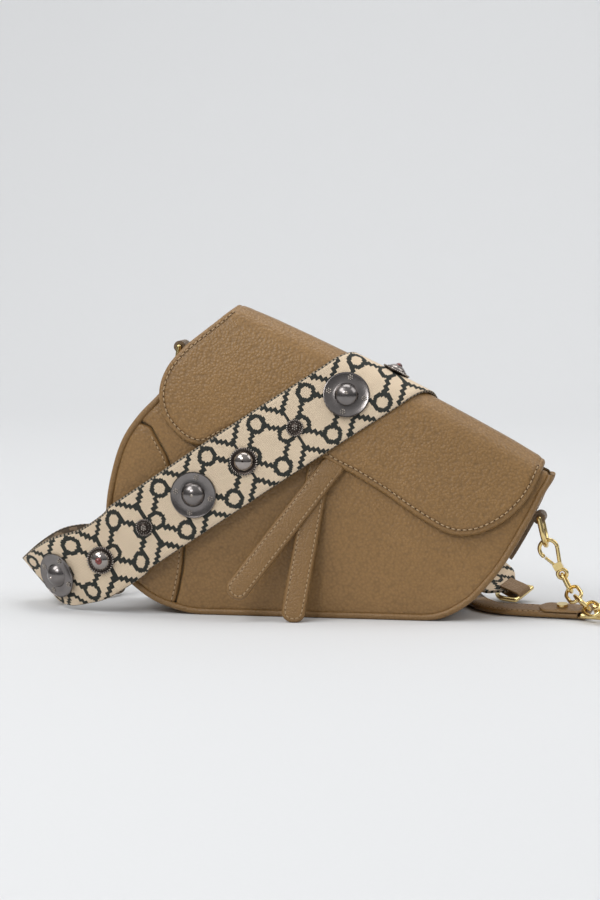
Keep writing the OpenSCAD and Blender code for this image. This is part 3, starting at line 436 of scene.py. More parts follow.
def thread_finish(name, colour):
    f = Finish(name, 0.62)
    twist = f.node("ShaderNodeTexWave", {"wave_type": "BANDS", "bands_direction": "DIAGONAL"},
                   {"Vector": f.place, "Scale": 700.0, "Distortion": 1.5}, output=1)
    f.tones(twist, colour, 0.75, 1.1)
    f.set("Roughness", twist * 0.1 + 0.58)
    f.bump(twist, 0.0001, 0.6)
    return f


def glass_finish(name, colour):
    """A polished cabochon, dark with lighter veins."""
    f = Finish(name, 0.12, Coat_Weight=1.0)
    vein = f.noise(260.0, 4.0)
    f.tones(vein.ramp(0.42, 0.6), colour, 0.35, 1.3)
    f.set("Roughness", vein * 0.08 + 0.08)
    f.bump(vein, 0.00003, 0.4)
    return f


# ---------------------------------------------------------------- mesh building

def clear_selection():
    if bpy.context.object and bpy.context.object.mode != "OBJECT":
        bpy.ops.object.mode_set(mode="OBJECT")
    bpy.ops.object.select_all(action="DESELECT")


def pick(obj):
    clear_selection()
    obj.select_set(True)
    bpy.context.view_layer.objects.active = obj


def added(operator, name, **values):
    """What one of Blender's own operators adds, named."""
    clear_selection()
    operator(**values)
    obj = bpy.context.object
    obj.name = obj.data.name = name
    return obj


def points_of(obj):
    """An object's points, in metres."""
    co = np.zeros(len(obj.data.vertices) * 3, np.float32)
    obj.data.vertices.foreach_get("co", co)
    return co.reshape(-1, 3)


def move_points(obj, points):
    obj.data.vertices.foreach_set("co", points.astype(np.float32).ravel())
    obj.data.update()
    return obj


def put_mesh(obj, points, faces, scale=MM):
    """Gives an object new points, in millimetres, and faces."""
    obj.data.clear_geometry()
    obj.data.from_pydata([tuple(p) for p in np.asarray(points) * scale], [], faces)
    obj.data.update()
    return obj


def new_mesh(name):
    return added(bpy.ops.mesh.primitive_plane_add, name, size=MM)


def outwards(obj, angle=50.0):
    """Turns a closed shell's faces outwards and shades it smooth up to an angle."""
    pick(obj)
    bpy.ops.object.mode_set(mode="EDIT")
    bpy.ops.mesh.select_all(action="SELECT")
    bpy.ops.mesh.normals_make_consistent(inside=False)
    bpy.ops.object.mode_set(mode="OBJECT")
    bpy.ops.object.shade_smooth_by_angle(angle=math.radians(angle), keep_sharp_edges=True)
    clear_selection()
    return obj


def paint(obj, *names):
    """Gives an object these finishes, and leaves which face wears which."""
    while len(obj.data.materials) > 0:
        obj.data.materials.pop()
    for name in names:
        obj.data.materials.append(FINISHES[name].material)
    return obj


def flat_face(name, loop, insets, step):
    """A flat face within a loop, ringed near its edge and cut along a grid."""
    obj = added(bpy.ops.mesh.primitive_circle_add, name, vertices=len(loop), radius=1,
                fill_type="NGON")
    move_points(obj, np.concatenate([loop, np.zeros((len(loop), 1))], 1))
    bpy.ops.object.mode_set(mode="EDIT")
    bpy.ops.mesh.select_all(action="SELECT")
    before = 0.0
    for distance in insets:
        bpy.ops.mesh.inset(thickness=distance - before, depth=0, use_even_offset=False)
        before = distance
    low, high = loop.min(0), loop.max(0)
    for axis in (0, 1):
        normal = np.eye(3)[axis]
        for at in np.arange(low[axis] + step / 2, high[axis], step):
            bpy.ops.mesh.select_all(action="SELECT")
            bpy.ops.mesh.bisect(plane_co=at * normal, plane_no=normal, use_fill=False)
    bpy.ops.object.mode_set(mode="OBJECT")
    return obj


def edge_distance(points, loop):
    """Distance from each flat point to a closed loop."""
    a, b = loop, np.roll(loop, -1, 0)
    ab = b - a
    best = np.full(len(points), 1e9)
    for start in range(0, len(points), 2000):
        p = points[start:start + 2000, None]
        t = np.clip(((p - a) * ab).sum(-1) / np.maximum((ab * ab).sum(-1), 1e-9), 0, 1)
        best[start:start + 2000] = np.linalg.norm(p - a - t[..., None] * ab, axis=-1).min(1)
    return best


def leaf(name, loop, place, thick, insets=(0.25, 0.8, 1.6, 2.8, 3.3, 3.8, 5.0), step=5.0,
         groove=SEW_IN, groove_depth=0.35, swell=None):
    """A sheet of leather with rounded edges and a sewing groove, set in place by a function of
    its flat point and its height."""
    obj = flat_face(name, loop, insets, step)
    count = len(obj.data.vertices)
    flat = points_of(obj)[:, :2].astype(float)
    faces = [tuple(p.vertices) for p in obj.data.polygons]
    d = edge_distance(flat, loop)
    height = thick * rounded(d, min(thick * 0.8, EDGE_ROUND))
    if groove:
        height = height - groove_depth * bell(d, groove, GROOVE_HALF)
    if swell is not None:
        height = height + swell(flat, d)
    top = place(flat, height)
    inner = np.nonzero(d >= 0.02)[0]
    lower = np.arange(count)
    lower[inner] = count + np.arange(len(inner))
    low = place(flat[inner], np.zeros(len(inner)))
    faces += [tuple(int(lower[i]) for i in reversed(f)) for f in faces]
    put_mesh(obj, np.concatenate([top, low]), faces)
    if groove:
        # Faces along the sewing groove wear the darker groove finish: painted shade in the groove.
        paint(obj, "leather", "groove")
        for face, polygon in zip(faces[:len(faces) // 2], obj.data.polygons):
            polygon.material_index = int(abs(np.mean(d[list(face)]) - groove) < GROOVE_HALF)
    return outwards(obj, 60)


def sweep(name, rings, uv=None):
    """A closed skin over rings of points. uv gives each point's lengths along and across."""
    rings = np.asarray(rings, float)
    n, m = rings.shape[:2]
    faces = [(i * m + k, i * m + (k + 1) % m, (i + 1) * m + (k + 1) % m, (i + 1) * m + k)
             for i in range(n - 1) for k in range(m)]
    faces += [tuple(range(m - 1, -1, -1)), tuple(range((n - 1) * m, n * m))]
    obj = put_mesh(new_mesh(name), rings.reshape(-1, 3), faces)
    if uv is not None:
        flat = (np.asarray(uv, float).reshape(-1, 2) * MM).astype(np.float32)
        for old in list(obj.data.uv_layers):
            obj.data.uv_layers.remove(old)
        layer = obj.data.uv_layers.new(name="strap")
        index = np.zeros(len(obj.data.loops), np.int32)
        obj.data.loops.foreach_get("vertex_index", index)
        layer.data.foreach_set("uv", flat[index].ravel())
    return outwards(obj, 50)


def copies(name, seed, frames):
    """One mesh of many copies of a seed object, each with its own points. A frame is a point in
    millimetres and three directions, with the seed's own size."""
    base = points_of(seed) / MM
    count = len(base)
    faces = [tuple(p.vertices) for p in seed.data.polygons]
    points, all_faces = [], []
    for k, (p, x, y, z) in enumerate(frames):
        points.append(p + base @ np.stack([x, y, z]))
        all_faces += [tuple(k * count + i for i in f) for f in faces]
    obj = put_mesh(new_mesh(name), np.concatenate(points), all_faces)
    return outwards(obj, 60)


def join(name, parts):
    clear_selection()
    for part in parts:
        part.select_set(True)
    bpy.context.view_layer.objects.active = parts[0]
    bpy.ops.object.join()
    parts[0].name = parts[0].data.name = name
    clear_selection()
    return parts[0]


def stitch_row(name, path, normals, pitch=STITCH_PITCH, length=STITCH_L, radius=STITCH_R):
    """Stitches laid along a path on a surface with those normals, with a dark bead between two:
    painted shade in the stitch hole.
    """
    both = resample(np.concatenate([path, normals], 1), pitch)
    middle = (both[1:] + both[:-1]) / 2
    p, z = middle[:, :3], unit(middle[:, 3:])
    x = unit(np.diff(both[:, :3], axis=0))
    x = unit(x - (x * z).sum(1, keepdims=True) * z)
    y = np.cross(z, x)
    seed = added(bpy.ops.mesh.primitive_uv_sphere_add, "seed", segments=8, ring_count=6, radius=MM)
    for v in seed.data.vertices:
        # A bead drawn out along X, with its ends turned down.
        a, b, c = v.co / MM
        v.co = (c * length / 2 * MM, b * radius * MM, (a * radius - 0.5 * radius * c * c) * MM)
    row = copies(name, seed, list(zip(p - z * STITCH_SINK, x, y, z)))
    bpy.data.objects.remove(seed)
    # A dark, sunk bead between two stitches: painted shade in the stitch hole.
    ends = list(zip(p + x * pitch / 2 - z * radius * 0.55, x, y, z))
    return join(name, [paint(row, "thread"), beads("hole_shades", radius * 0.95, ends, "hole_shade")])


def sewn(name, place, line, height, *sizes):
    """Stitches along a flat line on a placed surface."""
    path = resample(line, 1.0)
    level = np.full(len(path), height)
    low, high = place(path, level), place(path, level + 1.0)
    return stitch_row(name, low, unit(high - low), *sizes)


def lathe(name, profile, steps):
    """A turned piece about Z from a profile of radius and height, in millimetres."""
    obj = new_mesh(name)
    obj.data.clear_geometry()
    obj.data.from_pydata([(r * MM, 0, z * MM) for r, z in profile],
                         [(i, i + 1) for i in range(len(profile) - 1)], [])
    pick(obj)
    bpy.ops.object.modifier_add(type="SCREW")
    screw = obj.modifiers[-1]
    screw.steps = screw.render_steps = steps
    screw.use_merge_vertices = True
    screw.merge_threshold = 1e-6
    bpy.ops.object.modifier_apply(modifier=screw.name)
    return outwards(obj, 35)


# ---------------------------------------------------------------- the bag's pieces

# Panels' thickness, how far in they start from the outline, and the turned edge's radius.
PANEL_T, EDGE_IN, EDGE_R = 2.0, 3.0, 2.0
# Depths below the top edge: front and back panel, gusset at its left and right end, turned edge.
MOUTH_U, BACK_TOP_U, GUSSET_TOP_U, GUSSET_END_U, EDGE_END_U = 14.0, 9.5, 15.0, 5.0, 1.0
GUSSET_END_X, GUSSET_T, GUSSET_STEP = 0.53 * BODY_W, 1.5, 3.0


def run_of(loop, keep):
    """The one unbroken run of kept points of a closed loop."""
    if keep.all():
        return loop
    first = int(np.nonzero(keep & ~np.roll(keep, 1))[0][0])
    loop, keep = np.roll(loop, -first, 0), np.roll(keep, -first)
    return loop[:int(keep.argmin())]


def cut_below(loop, level):
    """A flat loop cut off along a line u below the top edge, which may rise at the right end."""
    out = []
    rise = np.interp(loop[:, 0], (0.46 * BODY_W, GUSSET_END_X), (0.0, level - EDGE_END_U))
    over = su_of(loop)[1] - level + rise
    for a, b, ua, ub in zip(loop, np.roll(loop, -1, 0), over, np.roll(over, -1)):
        if ua >= 0:
            out.append(a)
        if ua * ub < 0:
            out.append(a + (b - a) * ua / (ua - ub))
    return np.array(out)


def panel_place(side):
    """Puts a flat point and a height on the front (-1) or the back (1) of the body."""
    def place(flat, height):
        y = half_depth(su_of(flat)[1]) - PANEL_T + height
        return np.stack([flat[:, 0], side * y, flat[:, 1]], 1)
    return place


def panel_swell(flat, d):
    """Stuffing under a panel, and the soft ridge inside its edge."""
    return 1.1 * (1 - np.exp(-d / 16)) + 0.25 * bell(d, 7, 4)


def left_of_seam(points):
    """Which flat points lie left of the slanting seam and below its top."""
    at = np.interp(points[:, 1], SEAM[::-1, 1], SEAM[::-1, 0])
    return (points[:, 1] < SEAM[0, 1]) & (points[:, 0] < at)


def spaced(loop, gap):
    """A closed loop without points that nearly meet."""
    out = [loop[0]]
    for p in loop[1:]:
        if min(np.linalg.norm(p - out[-1]), np.linalg.norm(p - out[0])) > gap:
            out.append(p)
    return np.array(out)


def softened(loop, step=1.1, passes=2):
    """A closed loop with evenly spaced points and eased corners."""
    loop = resample(np.concatenate([loop, loop[:1]]), step)[:-1]
    for _ in range(passes):
        before, after = np.roll(loop, 1, 0), np.roll(loop, -1, 0)
        turn = (unit(loop - before) * unit(after - loop)).sum(1)
        ease = np.clip((0.985 - turn) * 8, 0, 0.5)[:, None]
        loop = loop * (1 - ease) + (before + after) / 2 * ease
    return spaced(loop, 0.5)


def seam_loops():
    """Outlines of the front panel and of the side panel to the left of the seam."""
    loop = inset(BODY_LOOP, EDGE_IN)
    left = left_of_seam(loop)
    inner = SEAM[(SEAM[:, 1] > 3.4) & (SEAM[:, 1] < SEAM[0, 1] - 2.5)]
    inner = inner[edge_distance(inner, loop) > 1.0]
    right = run_of(loop, ~left)
    front = np.concatenate([right, inner + [0.35, 0]])
    side = np.concatenate([run_of(loop, left), inner[::-1] - [0.35, 0]])
    return softened(cut_below(front, MOUTH_U)), softened(side)


def edge_path(level, distance):
    """The body's outline moved inwards, from its upper left round the base to its upper right,
    where it ends at that level."""
    u = su_of(BODY_LOOP)[1]
    level = np.where(BODY_LOOP[:, 0] > GUSSET_END_X, level, GUSSET_TOP_U)
    both = np.concatenate([BODY_LOOP, inset(BODY_LOOP, distance)], 1)
    return run_of(both, u > level)[:, 2:]


def edge_tube(name, side):
    """The turned edge between a panel and the gusset, flattened where it meets the floor."""
    path = resample(edge_path(EDGE_END_U, 1.9), 2.0)
    y = side * (half_depth(su_of(path)[1]) - 1.0)
    path = np.stack([path[:, 0], y, path[:, 1]], 1)
    t = tangents(path)
    across = unit(np.cross(t, [0, -1, 0]))
    over = np.cross(across, t)
    a = np.linspace(0, 2 * math.pi, 14, endpoint=False)[:, None]
    rings = (path[:, None] + EDGE_R * np.cos(a) * across[:, None]
             + 1.05 * EDGE_R * np.sin(a) * over[:, None])
    rings[..., 2] = np.maximum(rings[..., 2], 0)
    return sweep(name, rings)


def gusset_rings():
    """Sections of the gusset, which bulges a little and narrows at its right end."""
    path = resample(edge_path(GUSSET_END_U, 1.0), GUSSET_STEP)
    t = tangents(path)
    inward = np.stack([-t[:, 1], t[:, 0]], 1)
    depth = half_depth(su_of(path)[1]) - 1.4
    from_end = GUSSET_STEP * np.arange(len(path))[::-1] + 0.6
    depth = depth * rounded(from_end, 5, 0.3)
    share = np.linspace(-1, 1, 15)
    sag = 0.4 - 1.3 * (1 - share**2)
    rings = []
    for p, n, d in zip(path, inward, depth):
        outer = [(p[0] + n[0] * g, d * f, max(p[1] + n[1] * g, 0.05)) for f, g in zip(share, sag)]
        inner = [(x + n[0] * GUSSET_T, y, z + n[1] * GUSSET_T) for x, y, z in outer[::-1]]
        rings.append(outer + inner)
    return rings


# The flap, laid flat in lengths along the top edge and down from the crown. It reaches down the
# back to FLAP_BACK_V, where its corners are round.
FLAP_LINE = smooth(sized(FLAP_SHARES), 8)
FLAP_BACK_V, FLAP_CORNER = -26.0, 8.0


def flap_loop():
    """The flap's outline, laid flat."""
    s, u = su_of(FLAP_LINE)
    v = np.interp(u, WRAP_U, WRAP_V)
    front = np.stack([s, -v], 1)
    corners = []
    for cx, from_angle in ((FLAP_END_S - FLAP_CORNER, 0), (FLAP_CORNER - 1, 90)):
        turn = np.radians(from_angle + np.linspace(0, 90, 8))
        round_it = FLAP_CORNER * np.stack([np.cos(turn), np.sin(turn)], 1)
        corners.append(round_it + [cx, -FLAP_BACK_V - FLAP_CORNER])
    front = front[front[:, 1] < -0.5]
    return resample(np.concatenate([front, *corners, front[:1]]), 2.4)[:-1]


def flap_place(flat, height):
    return over_flap(flat[:, 0], -flat[:, 1], FLAP_GAP, height)


# Hanging tabs: width, thickness, degrees they stand out, roundness of the tip, sewing, gap left
# below the hinge.
TAB_W, TAB_T, TABS_OUT, TAB_TIP, TAB_SEW, TAB_CUT = 14.0, 2.2, 15.0, 0.75, 2.0, 0.3
TAB_HINGE = np.array([0.075 * BODY_W, 0.506 * BODY_H])
RIGHT_TAB_Y = float(-half_depth(su_of(TAB_HINGE)[1]) - 0.8 - TAB_T / 2)


def turned(points, axis, degrees):
    """Points turned about X or Y."""
    a = math.radians(degrees)
    c, s = math.cos(a), math.sin(a)
    x, y, z = points[..., 0], points[..., 1], points[..., 2]
    if axis == "Y":
        return np.stack([c * x + s * z, y, -s * x + c * z], -1)
    return np.stack([x, c * y - s * z, s * y + c * z], -1)


def tab_place(top, y, lean):
    """Puts a flat point and a height on a tab that leans sideways and stands out from the bag."""
    def place(flat, height):
        p = np.stack([flat[:, 0], TAB_T / 2 - height, flat[:, 1]], 1)
        p = turned(p, "Y", lean) + [top[0] - TAB_HINGE[0], 0, top[1] - TAB_HINGE[1]]
        slope = math.degrees(SLOPE)
        p = turned(turned(turned(p, "Y", -slope), "X", -TABS_OUT), "Y", slope)
        return p + [TAB_HINGE[0], y, TAB_HINGE[1]]
    return place


def tab_loop(length, top, lean):
    """Outline of a tab, with its head cut along the sewn line."""
    half, tip = TAB_W / 2, TAB_W / 2 * TAB_TIP
    turn = np.radians(np.linspace(180, 360, 25))
    foot = np.stack([half * np.cos(turn), -length + tip + tip * np.sin(turn)], 1)
    a = math.radians(lean)
    ends = []
    for x in (half, -half):
        # The height z at which this side meets the line below the hinge.
        px, pz = top - TAB_HINGE
        k = math.sin(SLOPE) * (px + math.cos(a) * x) + math.cos(SLOPE) * (pz - math.sin(a) * x)
        slope = math.sin(SLOPE) * math.sin(a) + math.cos(SLOPE) * math.cos(a)
        ends.append((x, (-TAB_CUT - k) / slope))
    sides = resample(np.array([foot[-1], ends[0]]), 3.0)
    head = resample(np.array(ends), 2.0)
    back = resample(np.array([ends[1], foot[0]]), 3.0)
    return softened(np.concatenate([foot, sides[1:], head[1:], back[1:-1]]), 1.2, 8)


# Woven strap: where it crosses the crown and how it turns from the top edge.
WEB_W, WEB_T = 45.0, 1.8
WEB_S0, WEB_TURN = 0.388 * BODY_W, math.radians(60.1)
# Its height on the flap, its height on the back panel, and the lengths between which it changes.
WEB_LIFT, WEB_SEAT, WEB_SEAT_FROM, WEB_SEAT_TO = FLAP_G + 0.4, FLAP_SHIFT + 0.4, -22.0, -50.0
# Lengths from the crown to its parting, to its fold behind the bag and to its part beside it.
WEB_SPLIT, WEB_FOLD, WEB_TAIL = -52.0, -84.0, 190.0
# Ornaments: the first one's place along the strap, their pitch, and where the rows of edges
# below begin along the strap and how far apart they are.
FIRST_STUD, STUD_PITCH = 33.4, 36.4
TAIL_FROM, TAIL_PITCH, FOLD_FROM, FOLD_PITCH = 199.4, 20.5, 97.4, 11.9
# Rings between two rows, and how many rings at the back end show the pattern on both sides.
EDGE_STEPS, BACK_FOLDED = 6, 26
# Upper and lower edges of the strap beside the bag, and behind it.
TAIL_EDGES = np.array([
    [[-120.4, -37, 60.5], [-95.4, -37, 23.1]], [[-134.5, -36, 51.1], [-116, -36, 9.8]],
    [[-153, -32, 45], [-131, -32, 5]], [[-170, -16, 35.5], [-143, -28, 3]],
    [[-182, 4, 27.5], [-153, -18, 5]], [[-173, 14, 36.5], [-151, -3, 4]],
    [[-162, 21, 43.5], [-145, 8, 3]], [[-150, 24, 46.3], [-138, 17, 1.8]],
    [[-137, 28, 46.5], [-130, 25, 1.6]], [[-128, 40, 46.5], [-127, 40, 1.6]],
])
FOLD_EDGES = np.array([
    [[36.5, 31.4, 52], [81.5, 29, 54]], [[36.5, 34.5, 30], [81.5, 34.6, 53]],
    [[36.5, 36.5, 8], [81.5, 37, 51]], [[39, 39, 2.4], [82.5, 40.5, 47]],
    [[48, 42, 1.8], [84.5, 45, 45.5]], [[62, 43, 2.8], [90, 48.5, 44]],
    [[78, 43, 4.8], [98, 55, 42]], [[90, 42, 7.2], [106, 64, 30]], [[100, 40, 8], [117, 71, 19]],
])


# Distances beyond the last edge, and the strap's widths there.
END_WIDTHS = ((5.0, 31.0), (9.5, 19.0), (13.0, 13.0))
BACK_HINT = np.array([0.8, -0.5, -0.42])
# A leather loop's bend round a ring's bar, and its thickness.
BEND_R, LOOP_T = 2.45, 1.5


def end_frame(edges, hint):
    """Middle, way out, direction across and normal at the strap's last edge."""
    upper, lower = edges[-1]
    e = unit(lower - upper)
    out = unit(hint - (hint @ e) * e)
    return (upper + lower) / 2, out, e, np.cross(e, out)


def gathered(edges, hint):
    """The edges with the strap's end drawn in towards its leather loop."""
    mid, out, e, _ = end_frame(edges, hint)
    rows = [[mid + out * d - e * w / 2, mid + out * d + e * w / 2] for d, w in END_WIDTHS]
    return np.concatenate([edges, rows])


FRONT_END = end_frame(TAIL_EDGES, np.array([0.0, 1.0, 0.0]))
BACK_END = end_frame(FOLD_EDGES, BACK_HINT)


def web_point(a, w, h):
    """A place on the wrapped strap: lengths along it and across it, and height over its back."""
    a, w, h = np.broadcast_arrays(np.asarray(a, float), w, h)
    s = WEB_S0 - a * math.cos(WEB_TURN) + w * math.sin(WEB_TURN)
    v = a * math.sin(WEB_TURN) + w * math.cos(WEB_TURN)
    fall = np.clip((v - WEB_SEAT_TO) / (WEB_SEAT_FROM - WEB_SEAT_TO), 0, 1)
    return over_flap(s, v, WEB_SEAT + (WEB_LIFT - WEB_SEAT) * fall, h)


def web_section():
    """Places across the strap and through its thickness, round its section."""
    w = np.linspace(-WEB_W / 2 + 0.5, WEB_W / 2 - 0.5, OVER_COUNT)
    side = [(WEB_W / 2, 0.7 * WEB_T), (WEB_W / 2, 0.3 * WEB_T)]
    over = [(x, WEB_T) for x in w]
    under = [(x, 0.0) for x in w[::-1]]
    return np.array(over + side + under + [(-a, WEB_T - h) for a, h in side])


OVER_COUNT = 19
SECTION = web_section()


def web_rings(a_values):
    """Rings of the wrapped strap, and their lengths along and across."""
    rings = [web_point(a, SECTION[:, 0], SECTION[:, 1]) for a in a_values]
    uv = [np.stack([np.full(len(SECTION), a), SECTION[:, 0]], 1) for a in a_values]
    return rings, uv


class EdgeRun:
    """The strap between an upper and a lower edge, smoothed and running on from a wrapped ring."""

    def __init__(self, edges, before, flip):
        rows = np.concatenate([before, edges])
        self.lead = len(before) * EDGE_STEPS
        top, low = smooth(rows[:, 0], EDGE_STEPS), smooth(rows[:, 1], EDGE_STEPS)
        self.mid, self.across = (top + low) / 2, low - top
        self.n = flip * unit(np.cross(self.across, tangents(self.mid)))

    def rings(self, start, direction):
        """Rings from just after the wrapped part, with lengths along the strap from start."""
        first = self.lead - EDGE_STEPS + 1
        steps = lengths_along(self.mid[first - 1:])[1:]
        rings, uv = [], []
        for i, length in zip(range(first, len(self.mid)), steps):
            rings.append(self.mid[i] + np.outer(SECTION[:, 0] / WEB_W, self.across[i])
                         + np.outer(SECTION[:, 1] - WEB_T / 2, self.n[i]))
            uv.append(np.stack([np.full(len(SECTION), start + direction * length),
                                SECTION[:, 0]], 1))
        return rings, uv

    def at(self, f):
        """Middle, direction and normal at a place counted in the edges' rows."""
        i = self.lead + f * EDGE_STEPS
        k = int(i)
        mix = lambda a: a[k] + (a[k + 1] - a[k]) * (i - k)
        return mix(self.mid), unit(self.mid[k + 1] - self.mid[k]), unit(mix(self.n))


def wrapped_edges(last, step):
    """The strap's edges at the last three places of its wrapped part."""
    return np.array([[web_point(a, w, WEB_T / 2) for w in (-WEB_W / 2, WEB_W / 2)]
                     for a in (last - 2 * step, last - step, last)])


TAIL = EdgeRun(gathered(TAIL_EDGES, FRONT_END[1]), wrapped_edges(WEB_TAIL, 10), -1)
FOLD = EdgeRun(gathered(FOLD_EDGES, BACK_HINT), wrapped_edges(WEB_FOLD, -10), 1)


def web_piece(name, rings, uv, folded=0):
    """A length of the strap. folded counts its last rings where both sides show the pattern."""
    obj = sweep(name, rings, uv=uv)
    paint(obj, "webbing", "webbing_back")
    m = len(SECTION)
    for polygon in obj.data.polygons:
        k = polygon.index % m
        inside = OVER_COUNT + 1 < k < 2 * OVER_COUNT + 1
        polygon.material_index = int(inside and polygon.index < m * (len(rings) - folded))
    return obj


def stud_frame(k):
    """Point, direction along the strap and normal of an ornament."""
    a = FIRST_STUD + k * STUD_PITCH
    if a > WEB_TAIL:
        p, x, n = TAIL.at((a - TAIL_FROM) / TAIL_PITCH)
        return p + n * (WEB_T / 2 + 0.3), x, n
    if a < WEB_FOLD:
        p, x, n = FOLD.at((-a - FOLD_FROM) / FOLD_PITCH)
        return p + n * (WEB_T / 2 + 0.5), x, n
    p = web_point(a, 0, WEB_T)
    n = unit(web_point(a, 0, 2 * WEB_T) - p)
    x = web_point(a + 1, 0, WEB_T) - p
    return p + n * (0.5 if a < -30 else 0.0), unit(x - (x @ n) * n), n


def set_on(obj, frame3):
    """Moves a piece made about the origin to a point, with its X and Z along two directions."""
    p, x, z = frame3
    axes = np.stack([x, np.cross(z, x), z])
    return move_points(obj, points_of(obj) @ axes + np.asarray(p) * MM)


def circle_of(count, radius, z, tilt=0.0):
    """Frames round a circle, for beads and petals."""
    frames = []
    for i in range(count):
        a = 2 * math.pi * i / count
        out = np.array([math.cos(a), math.sin(a), 0])
        along = np.array([-math.sin(a), math.cos(a), 0])
        x = math.cos(tilt) * out + math.sin(tilt) * along
        frames.append((out * radius + [0, 0, z], x, np.cross([0, 0, 1], x), np.array([0, 0, 1.0])))
    return frames


def beads(name, radius, frames, finish, scale=(1, 1, 1)):
    """One mesh of small balls, which scale may flatten or draw out."""
    seed = added(bpy.ops.mesh.primitive_uv_sphere_add, name + "_seed", segments=9, ring_count=6,
                 radius=radius * MM)
    move_points(seed, points_of(seed) * scale)
    obj = copies(name, seed, frames)
    bpy.data.objects.remove(seed)
    return paint(obj, finish)


def dome(r, h, z, steps):
    """Profile of a dome of radius r and height h that starts at the height z."""
    big = (r * r + h * h) / (2 * h)
    angles = math.asin(r / big) * (1 - np.arange(steps) / steps)
    return [(big * math.sin(a), z + h - big + big * math.cos(a)) for a in angles] + [(0, z + h)]


def turned_part(finish, profile, steps):
    return paint(lathe(finish, profile, steps), finish)


def rosette(centre, z):
    """Frames of a small flower: six petals and a heart."""
    petals = [(p + centre, x, y, n) for p, x, y, n in circle_of(6, 1.25, z)]
    return petals + [(centre + [0, 0, z + 0.05], *np.eye(3))]


def large_stud(r):
    disc = [(0, 0), (r - 0.4, 0), (r, 0.4), (r, 1.0), (r - 0.2, 1.35), (r - 0.5, 1.4),
            (r - 0.7, 1.15), (r - 0.9, 1.05), (r * 0.56, 1.15)]
    tip = [(0, 5.4), (1.0, 5.45), (1.1, 5.8), (0.8, 6.1), (0.5, 6.5), (0, 6.6)]
    flowers = []
    for a in np.radians([45, 135, 225, 315]):
        flowers += rosette(np.array([math.cos(a), math.sin(a), 0]) * r * 0.77, 1.15)
    pits = [(p * [1, 1, 0] + [0, 0, 0.95], x, y, n) for p, x, y, n in flowers]
    return join("large", [  # disc and dome, pointed tip, four flowers in their pits
        turned_part("gunmetal", disc + dome(r * 0.52, r * 0.34, 1.25, 14), 80),
        turned_part("silver", tip, 20), beads("flowers", 0.58, flowers, "silver"),
        beads("pits", 0.5, pits, "dark_metal", (1.35, 1.35, 0.5))])


def rope_edge(r, z, count, size):
    return beads("rope", size, circle_of(count, r, z, tilt=0.55), "silver", (1.6, 0.62, 0.85))


def middle_stud(r, stone=True):
    disc = [(0, 0), (r - 0.9, 0), (r - 0.5, 0.4), (r - 0.6, 0.9), (r - 1.1, 1.1),
            (r * 0.74, 0.7), (r * 0.66, 0.7), (r * 0.62, 2.0), (0, 2.2)]
    cap = dome(r * 0.62, r * 0.28, 2.4, 10) if stone else dome(r * 0.68, r * 0.44, 1.5, 12)
    parts = [turned_part("dark_metal", disc, 56),
             turned_part("bright_metal", [(0, 1.0), (r * 0.66, 1.0)] + cap, 48),
             rope_edge(r - 0.85, 1.0, 34, 0.62)]
    if stone:
        parts.append(rope_edge(r * 0.65, 1.9, 24, 0.40))
        parts.append(turned_part("stone", [(0, 4.0)] + dome(r * 0.25, r * 0.20, 4.4, 9), 32))
    else:
        parts.append(turned_part("dark_metal", [(0, 5.2), (0.7, 5.3), (0.5, 5.7), (0, 5.8)], 16))
    return join("middle", parts)


def small_stud(r):
    disc = [(0, 0), (r - 0.7, 0), (r - 0.3, 0.4), (r - 0.4, 0.9), (r - 0.9, 1.1),
            (r * 0.66, 0.7), (r * 0.60, 0.7), (r * 0.57, 1.3)]
    return join("small", [
        turned_part("dark_metal", disc + dome(r * 0.54, r * 0.30, 1.4, 8), 40),
        rope_edge(r - 0.6, 0.9, 26, 0.5),
        beads("crown", 0.34, circle_of(14, r * 0.60, 1.2), "silver"),
        beads("flower", 0.55, rosette(np.zeros(3), 2.7), "silver")])


# Leather shoulder strap on the floor: the right hook's eye, the strap's width and thickness, its
# stitches' distance from the middle and the length of its folded ends.
EYE_X, STRAP_W, STRAP_T, STRAP_SEW, STRAP_FOLD = 154.704, 15.0, 3.6, 5.4, 25.0
# Its route: X from the hook's eye, Y, lean in degrees and lift.
STRAP_ROUTE = [
    (11.3, -6.6, 8, 0.2), (-0.7, -4.6, 10, 0.1), (-12.7, -2.6, 11, 0), (-24.7, -0.4, 11, 0),
    (-35.7, 4, 9, 0), (-44.7, 13, 5, 0), (-51.7, 27, 3, 0), (-57.7, 42, 3, 0), (-63.7, 55, 12, 0),
    (-72.7, 65, 40, 0), (-86.7, 70, 70, 0), (-104.7, 71, 90, 0), (-134.7, 71, 90, 0),
    (-166.7, 71, 90, 0), (-198.7, 71, 90, 0), (-218.7, 75, 90, 0), (-228.7, 89, 90, 0),
    (-220.7, 104, 90, 0), (-200.7, 110, 90, 0), (-164.7, 110, 90, 0), (-126.7, 110, 90, 0),
    (-100.7, 110, 90, 0), (-80.7, 116, 90, 0), (-71.7, 131, 90, 0), (-80.7, 146, 90, 0),
    (-100.7, 151, 90, 0), (-126.7, 151, 90, 0), (-150.7, 151, 90, 0), (-168.7, 151, 60, 0.2),
    (-182.7, 151, 25, 0.6), (-194.7, 151, 0, 1.2), (-210.7, 151, 0, 1.6), (-226.7, 151, 0, 2),
]


def strap_frames():
    """Middles, and directions along, across and out of the strap's upper face."""
    rows = smooth(STRAP_ROUTE, 6)
    lean = np.radians(rows[:, 2])
    z = 0.3 + rows[:, 3] + STRAP_W / 2 * np.sin(lean) + STRAP_T / 2 * np.cos(lean)
    mid = np.stack([EYE_X + rows[:, 0], rows[:, 1], z], 1)
    t = tangents(mid)
    side = unit(np.stack([-t[:, 1], t[:, 0], 0 * t[:, 0]], 1))
    across = side * np.cos(lean)[:, None] - np.outer(np.sin(lean), [0, 0, 1])
    return mid, t, across, np.cross(t, across)


